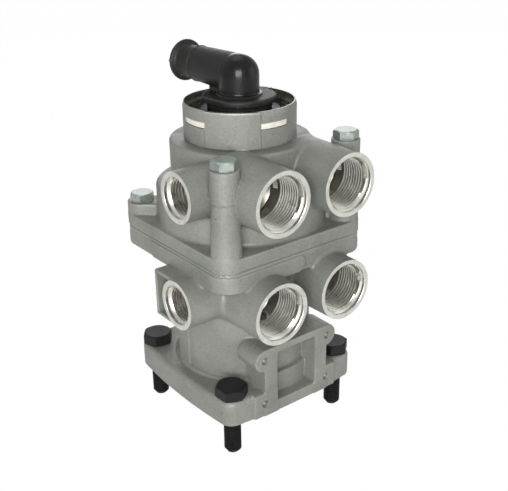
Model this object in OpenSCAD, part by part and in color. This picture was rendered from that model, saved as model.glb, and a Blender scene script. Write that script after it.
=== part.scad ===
// Two-circuit foot brake valve, standing on its mounting bolts with the plunger side down.
// Z runs up the valve axis, and Z = 0 is the mounting face of the lower housing.
// The front (-Y) has the large ports and the bracket, the left side (-X) has the small ports.

/* [Mounting flange] */
// Width of the mounting flange across the middle of its bowed sides
flange_side = 79.5; // [79:0.1:80.5]
// Thickness of the mounting flange
flange_t = 12.4; // [12:0.1:12.8]
// Corner radius of the mounting flange
flange_corner_r = 6; // [5:0.5:8]
// Radius of the flange's bowed sides
flange_bow_r = 290; // [250:10:400]
// Distance between neighbouring mounting bolts
mount_pitch = 62; // [61:0.5:63]
// Thread size of the mounting bolts
mount_bolt_d = 8; // [7:0.5:8.5]
// Width across flats of the mounting bolt heads
mount_head_af = 13; // [12.5:0.1:14]
// Height of the mounting bolt heads
mount_head_h = 5.3; // [4.8:0.1:6]
// Length of the mounting bolts under the head
mount_bolt_l = 30; // [28:1:36]

/* [Lower housing] */
// Radius of the round column
column_r = 31.8; // [31:0.1:32.2]
// Thickness of the lower housing's joint flange
lower_joint_t = 9; // [8:0.1:9.8]
// Side of the square joint flanges
joint_side = 80.6; // [80.2:0.2:82]
// Corner radius of the joint flanges
joint_corner_r = 8.5; // [8:0.1:9]
// Distance between neighbouring housing bolts
housing_pitch = 66.2; // [65.8:0.1:66.6]

/* [Upper housing] */
// Thickness of the upper housing's joint flange
upper_joint_t = 6.2; // [5.6:0.1:7]
// Radius of the wide base that holds the relay piston
base_r = 38.6; // [38.2:0.1:39]
// Height of the wide base above the joint
base_h = 23.8; // [23.2:0.1:24.6]
// Radius of the upper body
body_r = 31.6; // [31:0.1:32.4]
// Outer radius of the exhaust collar
collar_r = 25; // [24.8:0.1:25.4]
// Height of the exhaust collar
collar_h = 16.3; // [15.8:0.1:17]
// Bore radius of the exhaust collar
collar_bore_r = 22.6; // [22.4:0.1:22.8]
// Lowest and highest edge of the collar's slots, above its foot
slot_low = 8.5; // [8.2:0.1:8.8]
// Height of the collar's slots
slot_h = 2.7; // [2.4:0.1:3]
// Width of the collar's slots, in degrees
slot_turn = 35; // [28:1:36]
// Bottom radius of the bolt towers
tower_foot_r = 6.9; // [6.6:0.1:7.1]
// Top radius of the bolt towers
tower_r = 6.4; // [6.1:0.1:6.6]
// Height of the bolt towers above the joint
tower_h = 43.5; // [42.5:0.1:44]
// Height of the short bolt bosses above the joint
short_boss_h = 11.4; // [10:0.1:13]

/* [Large ports] */
// Distance between the two large ports of a row
port_pitch = 36.4; // [35.8:0.1:37]
// Outer radius of the large ports
port_r = 14; // [13.8:0.1:14.2]
// Thread size of the large ports
port_thread_d = 22; // [21:0.5:22.5]
// Height of the lower row of ports
lower_port_z = 57.2; // [56.8:0.1:57.6]
// Height of the upper row of ports above the joint
upper_port_h = 30.1; // [29.8:0.1:30.4]
// Distance from the valve axis to the lower mouths
lower_port_reach = 51.2; // [50.6:0.1:53]
// Distance from the valve axis to the upper mouths
upper_port_reach = 52.1; // [51.4:0.1:54]
// Depth of the thread in the large ports
port_depth = 17; // [15:0.5:18]
// Depth of the counterbore in every port
counterbore = 2.6; // [2:0.1:3]

/* [Small ports] */
// Distance from the valve axis to the small ports' plane
small_port_offset = 17.8; // [17.4:0.1:18.2]
// Outer radius of the small ports
small_port_r = 11.1; // [10.9:0.1:11.3]
// Thread size of the small ports
small_thread_d = 16; // [15:0.5:16]
// Distance from the valve axis to the lower small mouth
lower_small_reach = 49.2; // [48.6:0.1:51]
// Distance from the valve axis to the upper small mouth
upper_small_reach = 46.8; // [46.2:0.1:49]
// Depth of the thread in the small ports
small_port_depth = 13; // [11:0.5:14]
// Length of the square lug beside the lower small port
lug_l = 17.4; // [16:0.1:18]
// Wall of the square lug
lug_wall = 1.6; // [1.4:0.1:2.2]
// Depth of the pocket in the square lug
lug_pocket = 12; // [8:0.5:13]

/* [Bracket] */
// Distance between the two ears of the bracket
ear_pitch = 36.9; // [36.4:0.1:37.4]
// Height of the ears
ear_z = 28.9; // [28.4:0.1:29.4]
// Radius of the ears
ear_r = 5.3; // [5:0.1:5.6]
// Width of the bracket over its posts
post_span = 37.1; // [36.6:0.1:37.6]
// Width of the window between the posts
window_w = 22.3; // [22:0.1:23]
// Lowest edge of the window
window_low = 5.8; // [5.6:0.1:6.2]
// Highest edge of the window
window_high = 30.9; // [30.4:0.1:31.2]
// Distance that the bracket stands proud of the flange
bracket_proud = 0.1; // [0.1:0.1:0.5]
// Width of the bracket's foot on the flange
foot_w = 48.6; // [47:0.1:50]
// Radius of the step round the column's foot that shows in the window
plinth_r = 34.3; // [34:0.1:34.6]
// Height of that step
plinth_h = 15.4; // [15:0.1:16]
// Radius of the four dimples in the bracket
dimple_r = 1.6; // [1.4:0.1:1.8]

/* [Housing bolts] */
// Thread size of the housing bolts
housing_bolt_d = 6; // [5.5:0.5:6]
// Width across flats of the housing bolt heads
housing_head_af = 10; // [9.5:0.5:10.5]
// Height of the housing bolt heads
housing_head_h = 4; // [3.6:0.1:4.4]
// Length of thread in the lower housing
housing_thread_l = 8; // [7:0.1:8]

/* [Plunger] */
// Travel of the plunger
plunger_travel = 9; // [7:0.5:9]
// Radius of the plunger's stem
plunger_r = 8; // [7.5:0.1:8.5]
// Radius of the plunger's spring plate
spring_plate_r = 16; // [15:0.5:17]
// Distance that the fully pressed plunger still stands out below the mounting face
plunger_stand = 2; // [1:0.1:2.5]
// Thickness of the plunger's spring plate
plunger_plate_t = 5; // [4:0.1:5.5]
// Radius of the plunger guide
guide_plate_r = 22; // [21.6:0.1:23]
// Thickness of the plunger guide
guide_plate_t = 4; // [3.5:0.1:4.5]
// Height of the plunger guide's lower face
guide_plate_z = 2.6; // [2.4:0.1:3]

/* [Primary circuit] */
// Radius of the primary piston's bore
piston_bore_r = 21; // [20.6:0.1:21.2]
// Thickness of the primary piston
piston_t = 10; // [9:0.5:10.5]
// Height of the primary piston's lower face at rest
piston_z = 32.4; // [31.4:0.1:32.9]
// Radius of the piston stems
stem_r = 7; // [6.6:0.1:7.2]
// Radius of the way through the hollow stems
stem_bore_r = 4; // [3.5:0.1:4.5]
// Depth of the spring's recess in the primary piston
spring_pocket = 1.5; // [1:0.1:2]
// Height of the primary seat's lower face
primary_seat_z = 52.4; // [52.2:0.1:52.7]
// Thickness of the valve seats
seat_t = 3; // [2.6:0.1:3.2]
// Radius of the opening in the valve seats
seat_r = 10; // [9.4:0.1:10.4]
// Radius of the primary supply chamber
primary_chamber_r = 17; // [16.6:0.1:17.4]
// Height of the primary supply chamber, from the seat to the valve guide
primary_chamber_h = 10; // [9.8:0.1:10.4]
// Radius of the primary valve guide
primary_guide_r = 19; // [18.8:0.1:19.6]
// Depth of the primary valve guide's shelf below the joint
primary_guide_depth = 11.2; // [11:0.1:11.6]

/* [Secondary circuit] */
// Radius of the relay piston's bore
relay_bore_r = 33; // [32.6:0.1:33.2]
// Height of the relay piston's bore above the joint
relay_bore_h = 19.3; // [19:0.1:19.6]
// Height of the relay piston's lower face above the joint at rest
relay_z = 2.6; // [2:0.1:3]
// Thickness of the relay piston
relay_t = 7; // [6.5:0.1:7.4]
// Thickness of the wall between the relay piston's bore and the secondary seat
relay_web_t = 3.5; // [3.2:0.1:3.8]
// Radius of the secondary supply chamber
secondary_chamber_r = 15; // [14.8:0.1:15.4]
// Height of the secondary supply chamber, from the seat to the valve guide
secondary_chamber_h = 8.4; // [8.2:0.1:8.8]
// Radius of the secondary valve guide
secondary_guide_r = 17; // [16.8:0.1:17.4]
// Depth of the secondary valve guide's shelf below the collar's foot
secondary_guide_depth = 9.6; // [9.4:0.1:9.8]

/* [Valves] */
// Radius of the valve discs
disc_r = 12.5; // [12:0.1:12.8]
// Thickness of the valve discs
disc_t = 3; // [2.6:0.1:3.2]
// Outer radius of the valve tubes
tube_r = 8; // [7.6:0.1:8.2]
// Bore radius of the valve tubes
tube_bore_r = 5; // [4.6:0.1:5.4]
// Thickness of the valve guides
guide_t = 6; // [5.6:0.1:6.2]
// Gap between a stem and its valve at rest
valve_gap = 1; // [1:0.1:1.4]
// Running clearance of pistons, valves and the plunger
slip = 0.05; // [0.03:0.01:0.08]

/* [Exhaust elbow] */
// Radius of the exhaust cup's bore
cup_bore_r = 9; // [8.6:0.1:9.2]
// Height of the exhaust cup's top above the collar's foot
cup_top = 12.4; // [12.2:0.1:12.6]
// Radius of the elbow's round plate
elbow_plate_r = 16.2; // [15.6:0.1:17]
// Height of the elbow's round plate above the exhaust cup
elbow_plate_lift = 3.3; // [3:0.1:3.6]
// Thickness of the elbow's round plate
elbow_plate_t = 2.8; // [2.4:0.1:3.2]
// Radius of the elbow's upright part and its domed knee
riser_r = 8.8; // [8.5:0.1:9]
// Outer radius of the elbow's tube
elbow_r = 7.9; // [7.6:0.1:8.2]
// Bore radius of the elbow's tube
elbow_bore_r = 5.8; // [5.4:0.1:6.1]
// Height of the elbow's tube above the collar's foot
elbow_h = 28.1; // [27.4:0.1:30]
// Distance from the valve axis to the elbow's mouth
elbow_reach = 37.9; // [34:0.1:40]
// Radius of the bead at the elbow's mouth
elbow_bead_r = 9.5; // [9:0.1:9.9]
// Length of the elbow's thinner neck, with the bead
elbow_neck_l = 11; // [9:0.5:12]
// Radius of the elbow's hub under the plate
elbow_hub_r = 13; // [12:0.1:14]
// Width of the block between the elbow's plate and its tube
elbow_block_w = 9.6; // [8:0.1:10]
// Length of that block, from the valve axis
elbow_block_l = 15.2; // [14:0.1:15.4]
// Direction of the elbow, in degrees from the back towards the left side
elbow_turn = 4; // [-10:1:20]

/* [Small parts] */
// Wire thickness of the snap rings
ring_t = 1.2; // [1:0.1:1.4]
// Section radius of the sealing rings
seal_r = 0.9; // [0.8:0.05:1]
// Wire radius of the valve springs
spring_wire_r = 0.6; // [0.5:0.05:0.7]
// Coil radius of the graduating spring
graduating_coil_r = 12; // [11:0.5:12.5]
// Wire radius of the graduating spring
graduating_wire_r = 1.5; // [1.2:0.1:1.6]
// Coil radius of the primary piston's return spring
primary_coil_r = 14; // [13:0.5:16]
// Wire radius of the primary piston's return spring
primary_wire_r = 0.8; // [0.6:0.1:1]
// Coil radius of the relay piston's return spring
relay_coil_r = 20; // [18:0.5:24]
// Wire radius of the relay piston's return spring
relay_wire_r = 1; // [0.8:0.1:1.2]

/* [Hidden] */
$fn = 64;
cut = 0.5;
hair = 0.03;
boss_draft = 0.5;
foot_fillet_r = 2;
boss_root = 21;
nose_h = 1.5;
pad_h = 7.6;
pad_top = 1.3;
pad_proud = 0.7;
flange_half = flange_side / 2;
mount_xy = mount_pitch / 2;
mount_hole_r = mount_bolt_d / 2 + 0.4;
mount_shank_r = 0.45 * mount_bolt_d;
mount_turns = [34, 51, 20, 40];
housing_xy = housing_pitch / 2;
housing_hole_r = housing_bolt_d / 2 + 0.3;
primary_seat_top = primary_seat_z + seat_t;
primary_shelf_z = primary_seat_top + primary_chamber_h;
joint_z = primary_shelf_z + primary_guide_depth;
upper_port_z = joint_z + upper_port_h;
lower_small_z = lower_port_z + 1.1;
upper_small_z = upper_port_z - 0.1;
secondary_seat_h = relay_bore_h + relay_web_t;
body_h = secondary_seat_h + seat_t + secondary_chamber_h + secondary_guide_depth;
ledge_z = joint_z + body_h;
rim_z = ledge_z + collar_h;
port_face_r = port_thread_d / 2 + 1;
small_face_r = small_thread_d / 2 + 0.9;
bracket_front = flange_half + bracket_proud;
bracket_back = 26;
drill_point = 3;
stem_land = 2;
relay_roof_z = joint_z + relay_bore_h;
relay_low_z = joint_z + relay_z;
secondary_seat_z = joint_z + secondary_seat_h;
secondary_seat_top = secondary_seat_z + seat_t;
secondary_shelf_z = ledge_z - secondary_guide_depth;
cup_seat_z = ledge_z + 2.2;
cup_top_z = ledge_z + cup_top;
elbow_z = ledge_z + elbow_h;
secondary_disc_r = disc_r - 1;
groove_w = 2 * seal_r + 0.3;
groove_depth = 2 * seal_r + 0.1;
plunger_top_z = guide_plate_z + guide_plate_t + 0.3;
plunger_reach = plunger_travel + plunger_stand;
panel_turn = 90 - slot_turn - 2;
lug_ends = [0.46, 0.46, 0.46, 0.29];
delivery_r = 2.8;
supply_r = 3.8;
small_supply_r = 3.4;
head_clear_r = housing_head_af / sqrt(3) + 1.2;

// Rounded square, centred on the axis
module rounded_square(side, r) {
    square([side, side - 2 * r], center = true);
    square([side - 2 * r, side], center = true);
    for (x = [-1, 1], y = [-1, 1])
        translate([x * (side / 2 - r), y * (side / 2 - r)]) circle(r);
}

// Square with bowed sides and rounded corners that run into them smoothly
module bowed_square(side, r, bow_r) {
    back = bow_r - side / 2;
    centre = (sqrt(2 * pow(bow_r - r, 2) - back * back) - back) / 2;
    reach = bow_r * centre / (bow_r - r);
    for (a = [0, 90]) rotate(a) intersection() {
        square([side + 2, 2 * reach], center = true);
        translate([-back, 0]) circle(bow_r);
        translate([back, 0]) circle(bow_r);
    }
    for (x = [-1, 1], y = [-1, 1]) translate([x * centre, y * centre]) circle(r);
}

// Round bar between two heights
module bar(r, low, high) {
    translate([0, 0, low]) cylinder(r = r, h = high - low);
}

// Ring between two heights
module ring(outer_r, inner_r, low, high) {
    difference() {
        bar(outer_r, low, high);
        bar(inner_r, low - cut, high + cut);
    }
}

// Concave fillet round a bar of radius r that stands on a face at height z
module foot_fillet(r, z, size) {
    translate([0, 0, z]) rotate_extrude()
        polygon(concat([[r - 1, 0]],
            [for (a = [0:22.5:90]) [r + size * (1 - sin(a)), size * (1 - cos(a))]],
            [[r - 1, size]]));
}

// Sealing ring of round section
module o_ring(r, z) {
    translate([0, 0, z]) rotate_extrude() translate([r, 0]) circle(r = seal_r, $fn = 24);
}

// Open snap ring in a groove
module snap_ring(outer_r, inner_r, z, thick) {
    difference() {
        ring(outer_r, inner_r, z, z + thick);
        translate([0, -2, z - cut]) cube([outer_r + 1, 4, thick + 2 * cut]);
    }
}

// Coil spring of round wire between two heights, swept along its helix
module coil(r, wire_r, low, high, turns) {
    sides = 6;
    steps = 14;
    rings = turns * steps;
    z0 = low + wire_r;
    rise = high - low - 2 * wire_r;
    points = [for (i = [0:rings], j = [0:sides - 1])
        let (a = 360 * i / steps, b = 360 * j / sides, d = r + wire_r * cos(b))
        [d * cos(a), d * sin(a), z0 + rise * i / rings + wire_r * sin(b)]];
    walls = [for (i = [0:rings - 1], j = [0:sides - 1])
        let (a = i * sides + j, b = i * sides + (j + 1) % sides)
        [b, a, a + sides, b + sides]];
    ends = [[for (j = [0:sides - 1]) j], [for (j = [sides - 1:-1:0]) rings * sides + j]];
    polyhedron(points, concat(walls, ends), convexity = 10);
}

// Hexagon bolt that points down, its head resting on height z
module hex_bolt(d, af, head_h, z, tip_z, thread_z, shank_r) {
    tip = d / 8;
    intersection() {
        translate([0, 0, z]) cylinder(r = af / sqrt(3), h = head_h, $fn = 6);
        union() {
            bar(af, z, z + head_h * 0.75);
            translate([0, 0, z + head_h * 0.75])
                cylinder(r1 = af / sqrt(3), r2 = af / 2 - 0.2, h = head_h * 0.25);
        }
    }
    bar(shank_r, thread_z - cut, z + hair);
    bar(d / 2, tip_z + tip, thread_z);
    translate([0, 0, tip_z]) cylinder(r1 = d / 2 - tip, r2 = d / 2, h = tip);
}

// Places its children at a large port's mouth, with their Z axis pointing out of it
module at_large_port(side, reach, z) {
    translate([side * port_pitch / 2, -reach, z]) rotate([90, 0, 0]) children();
}

// Places its children at a small port's mouth, with their Z axis pointing out of it
module at_small_port(reach, z) {
    translate([-reach, -small_port_offset, z]) rotate([0, -90, 0]) children();
}

// Boss of a port, from its mouth back to its root
module port_boss(r, len) {
    translate([0, 0, -len]) cylinder(r1 = r + boss_draft, r2 = r, h = len);
}

// Counterbore, thread bore and drill point of a port, turned about its axis
module port_bore(thread_r, face_r, depth) {
    rotate_extrude() polygon([[0, -depth - drill_point], [thread_r - 4, -depth - drill_point],
        [thread_r, -depth], [thread_r, -counterbore], [face_r, -counterbore], [face_r, cut],
        [0, cut]]);
}

// Passage drilled inwards from a large port to a chamber of the valve
module port_passage(side, x, z, r, from_y, to_y) {
    translate([side * x, -from_y, z]) rotate([-90, 0, 0]) cylinder(r = r, h = from_y - to_y);
}

// Profile of the bracket, seen from the front
module bracket_profile() {
    post_w = (post_span - window_w) / 2;
    for (s = [-1, 1]) {
        translate([s * (post_span - post_w) / 2 - post_w / 2, 0]) square([post_w, ear_z]);
        translate([s * ear_pitch / 2, ear_z]) circle(ear_r);
    }
    translate([-ear_pitch / 2, window_high]) square([ear_pitch, ear_z + ear_r - window_high]);
}

// Bracket with two ears and a broad foot on the front of the lower housing
module bracket() {
    translate([0, -bracket_back, 0]) rotate([90, 0, 0])
        linear_extrude(bracket_front - bracket_back) bracket_profile();
    translate([-foot_w / 2, -bracket_front, 0])
        cube([foot_w, bracket_front - plinth_r, flange_t]);
}

// Window between the posts, open as far back as the column
module bracket_window() {
    translate([-window_w / 2, -bracket_front - cut, window_low])
        cube([window_w, bracket_front + cut - bracket_back, window_high - window_low]);
}

// Dimples in the ears and in the foot below them
module bracket_dimples() {
    for (s = [-1, 1], z = [ear_z, window_low + 0.7])
        translate([s * ear_pitch / 2, -bracket_front, z]) rotate([-90, 0, 0])
            cylinder(r1 = dimple_r, r2 = 0, h = 1);
}

// Step round the column's foot, as far as it shows in the window
module window_plinth() {
    intersection() {
        bar(plinth_r, window_low - 1, plinth_h);
        translate([-window_w / 2 - 1, -plinth_r - 1, 0]) cube([window_w + 2, plinth_r + 1 - bracket_back, plinth_h + 1]);
    }
}

// Square lug beside the lower small port
module port_lug() {
    translate([-lower_small_reach, -small_port_offset, lower_small_z - small_port_r])
        cube([lower_small_reach - column_r + 5, lug_l, 2 * small_port_r]);
}

module lower_outside() {
    difference() {
        union() {
            linear_extrude(flange_t) bowed_square(flange_side, flange_corner_r, flange_bow_r);
            bracket();
        }
        bracket_window();
    }
    window_plinth();
    bar(column_r, 1, joint_z - 1);
    foot_fillet(column_r, flange_t, foot_fillet_r);
    translate([0, 0, joint_z - lower_joint_t])
        linear_extrude(lower_joint_t) rounded_square(joint_side, joint_corner_r);
    for (x = [-1, 1], y = [-1, 1]) translate([x * housing_xy, y * housing_xy, 0])
        translate([0, 0, joint_z - lower_joint_t - nose_h + 0.1])
            cylinder(r1 = tower_foot_r - nose_h, r2 = tower_foot_r, h = nose_h);
    for (s = [-1, 1]) at_large_port(s, lower_port_reach, lower_port_z)
        port_boss(port_r, lower_port_reach - boss_root);
    at_small_port(lower_small_reach, lower_small_z)
        port_boss(small_port_r, lower_small_reach - boss_root);
    port_lug();
    gasket_pad();
}

// Raised pad on the front of the lower joint flange, running round its left corner
module gasket_pad() {
    low = joint_z - pad_top - pad_h;
    intersection() {
        translate([0, 0, low]) linear_extrude(pad_h)
            rounded_square(joint_side + 2 * pad_proud, joint_corner_r + pad_proud);
        translate([-joint_side, -joint_side, low - 1])
            cube([joint_side, joint_side - housing_xy + joint_corner_r - 2, pad_h + 2]);
    }
    translate([0, -joint_side / 2 + 3, low + pad_h / 2]) rotate([90, 0, 0])
        cylinder(r = pad_h / 2, h = 3 + pad_proud);
}

module lower_housing() color([0.62, 0.62, 0.58]) difference() {
    lower_outside();
    // plunger guide, snap ring and spring chamber
    bar(guide_plate_r, -cut, guide_plate_z + guide_plate_t);
    bar(guide_plate_r + 1, guide_plate_z - ring_t - 0.1, guide_plate_z - 0.05);
    bar(piston_bore_r, guide_plate_z, primary_seat_z);
    // primary seat and supply chamber, with the valve guide's shelf
    bar(seat_r, primary_seat_z - cut, primary_seat_top + cut);
    bar(primary_chamber_r, primary_seat_top, joint_z);
    bar(primary_guide_r, primary_shelf_z, joint_z + cut);
    bar(primary_guide_r + 1, primary_shelf_z + guide_t + 0.05,
        primary_shelf_z + guide_t + ring_t + 0.1);
    // ports
    for (s = [-1, 1]) at_large_port(s, lower_port_reach, lower_port_z)
        port_bore(port_thread_d / 2, port_face_r, port_depth);
    at_small_port(lower_small_reach, lower_small_z)
        port_bore(small_thread_d / 2, small_face_r, small_port_depth);
    port_passage(-1, port_pitch / 2 - 2.7, primary_seat_z - 0.1 - delivery_r, delivery_r,
        lower_port_reach - port_depth + 1, piston_bore_r - 8);
    port_passage(1, port_pitch / 2 - 5.2, lower_port_z + 2.7, supply_r,
        lower_port_reach - port_depth + 1, primary_chamber_r - 8);
    translate([-lower_small_reach + small_port_depth - 1, -small_port_offset + 3.8,
        lower_port_z + 2.7]) rotate([0, 90, 0])
        cylinder(r = small_supply_r, h = lower_small_reach - small_port_depth - 7);
    // pocket of the square lug
    translate([-lower_small_reach - cut, -small_port_offset + small_port_r,
        lower_small_z - small_port_r + lug_wall])
        cube([lug_pocket + cut, lug_l - small_port_r - lug_wall,
            2 * small_port_r - 2 * lug_wall]);
    bracket_dimples();
    // bolt holes
    for (x = [-1, 1], y = [-1, 1]) {
        translate([x * mount_xy, y * mount_xy, 0])
            bar(mount_hole_r, -cut, flange_t + cut);
        translate([x * housing_xy, y * housing_xy, 0])
            bar(housing_bolt_d / 2 + hair, joint_z - housing_thread_l - 0.5, joint_z + cut);
    }
}

// Tall tower round a long housing bolt, with the web that joins it to the body
module bolt_tower(x, y) {
    translate([x * housing_xy, y * housing_xy, joint_z]) {
        cylinder(r1 = tower_foot_r, r2 = tower_r - 0.5, h = upper_port_h);
        translate([0, 0, upper_port_h]) cylinder(r = tower_r, h = tower_h - upper_port_h);
    }
    rotate(atan2(y, x)) translate([base_r - 12, -2.5, joint_z])
        cube([housing_xy * sqrt(2) - base_r + 12, 5, tower_h - 3]);
}

// Short boss under a short housing bolt, running back to the base
module short_boss(x, y) {
    translate([x * housing_xy, y * housing_xy, joint_z]) cylinder(r = tower_foot_r, h = short_boss_h);
    rotate(atan2(y, x)) translate([base_r - 8, -tower_foot_r + 0.3, joint_z])
        cube([housing_xy * sqrt(2) - base_r + 8, 2 * tower_foot_r - 0.6, short_boss_h]);
}

// Collar with four proud panels and four slots between them
module collar() {
    bar(collar_r - 0.5, ledge_z - 1, rim_z);
    intersection() {
        bar(collar_r, ledge_z - 1, rim_z - 0.8);
        for (a = [45:90:315]) rotate(a) linear_extrude(2 * rim_z)
            polygon([[0, 0], for (b = [-panel_turn / 2, 0, panel_turn / 2])
                2 * collar_r * [cos(b), sin(b)]]);
    }
}

module collar_slots() {
    for (a = [0:90:270]) rotate(a) translate([0, 0, ledge_z + slot_low]) linear_extrude(slot_h)
        polygon([for (b = [-0.5, 0.5]) 10 * [cos(b * slot_turn), sin(b * slot_turn)],
            for (b = [0.5, 0, -0.5]) 2 * collar_r * [cos(b * slot_turn), sin(b * slot_turn)]]);
}

module upper_outside() {
    translate([0, 0, joint_z]) linear_extrude(upper_joint_t) rounded_square(joint_side, joint_corner_r);
    bar(base_r, joint_z + 1, joint_z + base_h);
    bar(body_r, joint_z + 2, ledge_z);
    collar();
    for (x = [-1, 1]) {
        bolt_tower(x, -1);
        short_boss(x, 1);
    }
    for (s = [-1, 1]) at_large_port(s, upper_port_reach, upper_port_z)
        port_boss(port_r, upper_port_reach - boss_root);
    at_small_port(upper_small_reach, upper_small_z)
        port_boss(small_port_r, upper_small_reach - boss_root);
}

module upper_housing() color([0.64, 0.64, 0.6]) difference() {
    upper_outside();
    // relay piston bore, seat and supply chamber
    bar(relay_bore_r, joint_z - cut, relay_roof_z);
    bar(secondary_chamber_r - 1, relay_roof_z - cut, secondary_seat_z);
    bar(seat_r - 1, secondary_seat_z - cut, secondary_seat_top + cut);
    bar(secondary_chamber_r, secondary_seat_top, secondary_shelf_z + cut);
    bar(secondary_guide_r, secondary_shelf_z, cup_seat_z + cut);
    bar(secondary_guide_r + 1, secondary_shelf_z + guide_t + 0.05,
        secondary_shelf_z + guide_t + ring_t + 0.1);
    // collar
    bar(collar_bore_r, cup_seat_z, rim_z + cut);
    collar_slots();
    // groove of the housing seal
    ring(relay_bore_r + 1 + groove_w, relay_bore_r + 1, joint_z - cut, joint_z + groove_depth);
    // ports
    for (s = [-1, 1]) at_large_port(s, upper_port_reach, upper_port_z)
        port_bore(port_thread_d / 2, port_face_r, port_depth);
    at_small_port(upper_small_reach, upper_small_z)
        port_bore(small_thread_d / 2, small_face_r, small_port_depth);
    translate([-port_pitch / 2, -upper_port_reach + port_depth - 1, upper_port_z - 7])
        rotate([-118, 0, 0]) cylinder(r = delivery_r, h = upper_port_z - relay_roof_z + 2.2);
    port_passage(1, port_pitch / 2 - 5.2, upper_port_z + 0.7, small_supply_r,
        upper_port_reach - port_depth + 1, secondary_chamber_r - 8);
    translate([-upper_small_reach + small_port_depth - 1, -small_port_offset + 3.8,
        upper_port_z + 1.2]) rotate([0, 90, 0])
        cylinder(r = small_supply_r - 0.4, h = upper_small_reach - small_port_depth - 4);
    // bolt holes, and room for the heads of the short bolts
    for (x = [-1, 1], y = [-1, 1]) translate([x * housing_xy, y * housing_xy, 0])
        bar(housing_hole_r, joint_z - cut, joint_z + tower_h + cut);
    for (x = [-1, 1]) translate([x * housing_xy, housing_xy, 0])
        bar(head_clear_r, joint_z + short_boss_h, ledge_z);
}

module housing_seal() color([0.1, 0.1, 0.1])
    o_ring(relay_bore_r + 1 + groove_w / 2, joint_z + seal_r + hair / 2);

// Housing bolt whose head rests at height h above the joint
module housing_bolt(h) {
    rotate(30) hex_bolt(housing_bolt_d, housing_head_af, housing_head_h, joint_z + h,
        joint_z - housing_thread_l, joint_z + h, housing_bolt_d / 2);
}

module long_housing_bolts() color([0.75, 0.77, 0.74])
    for (x = [-1, 1]) translate([x * housing_xy, -housing_xy, 0]) housing_bolt(tower_h);

module short_housing_bolts() color([0.75, 0.77, 0.74])
    for (x = [-1, 1]) translate([x * housing_xy, housing_xy, 0]) housing_bolt(short_boss_h);

// Threaded below the mounting face, with a thinner shank through the flange
module mounting_bolts() color([0.12, 0.12, 0.12])
    for (i = [0:3]) translate([i < 2 ? -mount_xy : mount_xy, i % 3 == 0 ? -mount_xy : mount_xy, 0])
        rotate(mount_turns[i]) hex_bolt(mount_bolt_d, mount_head_af, mount_head_h, flange_t,
            flange_t - mount_bolt_l, 0, mount_shank_r);

module plunger_guide() color([0.25, 0.25, 0.25]) difference() {
    bar(guide_plate_r - hair, guide_plate_z, guide_plate_z + guide_plate_t);
    bar(plunger_r + slip, 0, joint_z);
}

module plunger_guide_ring() color([0.5, 0.5, 0.52])
    snap_ring(guide_plate_r + 0.8, guide_plate_r - 2, guide_plate_z - ring_t - 0.05, ring_t);

module plunger() color([0.55, 0.5, 0.35]) {
    bar(plunger_r, -plunger_reach + 1.5, plunger_top_z + 1);
    translate([0, 0, -plunger_reach]) cylinder(r1 = plunger_r - 1.5, r2 = plunger_r, h = 1.5);
    bar(spring_plate_r, plunger_top_z, plunger_top_z + plunger_plate_t);
    bar(stem_r, plunger_top_z, plunger_top_z + plunger_plate_t + 4);
}

// Bellows over the plunger, from the guide's snap ring down to the plunger's nose
module dust_boot() color([0.13, 0.13, 0.13]) {
    top = guide_plate_z - ring_t - 0.4;
    low = -plunger_reach + 2.5;
    step = (top - low) / 6;
    wall = 1;
    outer = [for (i = [0:6]) [plunger_r + (i % 2 == 0 ? 2.6 : 5), top - i * step]];
    inner = [for (i = [6:-1:0]) [plunger_r + (i % 2 == 0 ? 2.6 : 5) - wall, top - i * step]];
    rotate_extrude() polygon(concat(outer, inner));
    ring(guide_plate_r - 2.3, plunger_r + 1.6, top - 0.4, top + wall);
    ring(plunger_r + 2.6, plunger_r + 0.2, low - 0.8, low + 0.4);
}

module graduating_spring() color([0.45, 0.45, 0.47])
    coil(graduating_coil_r, graduating_wire_r, plunger_top_z + plunger_plate_t + 0.15,
        piston_z + spring_pocket - 0.15, 4);

// Piston with a seal groove and a hollow stem
module stem_piston(r, low, thick, stem_top, seal_at) {
    difference() {
        union() {
            bar(r, low, low + thick);
            bar(stem_r + 2, low + thick - cut, low + thick + 1.5);
            bar(stem_r, low + thick - cut, stem_top - stem_land);
            translate([0, 0, stem_top - stem_land - 0.01])
                cylinder(r1 = stem_r, r2 = stem_r - 0.8, h = stem_land + 0.01);
        }
        bar(stem_bore_r, low - cut, stem_top + cut);
        ring(r + 1, r - groove_depth, seal_at - groove_w / 2, seal_at + groove_w / 2);
    }
}

module primary_piston() color([0.66, 0.66, 0.62]) difference() {
    stem_piston(piston_bore_r - slip, piston_z, piston_t, primary_seat_top - valve_gap,
        piston_z + piston_t - 3);
    bar(spring_plate_r - 1, piston_z - cut, piston_z + spring_pocket);
}

module primary_piston_seal() color([0.1, 0.1, 0.1])
    o_ring(piston_bore_r - slip - seal_r - hair, piston_z + piston_t - 3);

module primary_return_spring() color([0.45, 0.45, 0.47])
    coil(primary_coil_r, primary_wire_r, piston_z + piston_t + 0.1, primary_seat_z - 0.1, 3);

// Double-seat valve: a faced disc on a hollow tube
module seat_valve(r, low, tube_top) {
    ring(r, tube_bore_r, low, low + disc_t);
    ring(tube_r, tube_bore_r, low + disc_t - hair, tube_top);
}

module primary_valve() color([0.2, 0.2, 0.2])
    seat_valve(disc_r, primary_seat_top + 0.05, primary_shelf_z + guide_t);

module primary_valve_spring() color([0.45, 0.45, 0.47])
    coil(tube_r + 1.6, spring_wire_r, primary_seat_top + disc_t + 0.15, primary_shelf_z - 0.1, 2);

module valve_guide(r, low) {
    difference() {
        bar(r - hair, low, low + guide_t);
        bar(tube_r + slip, low - cut, low + guide_t + cut);
        ring(r + 1, r - groove_depth, low + guide_t / 2 - groove_w / 2,
            low + guide_t / 2 + groove_w / 2);
    }
}

module primary_valve_guide() color([0.7, 0.66, 0.5]) valve_guide(primary_guide_r, primary_shelf_z);

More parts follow.
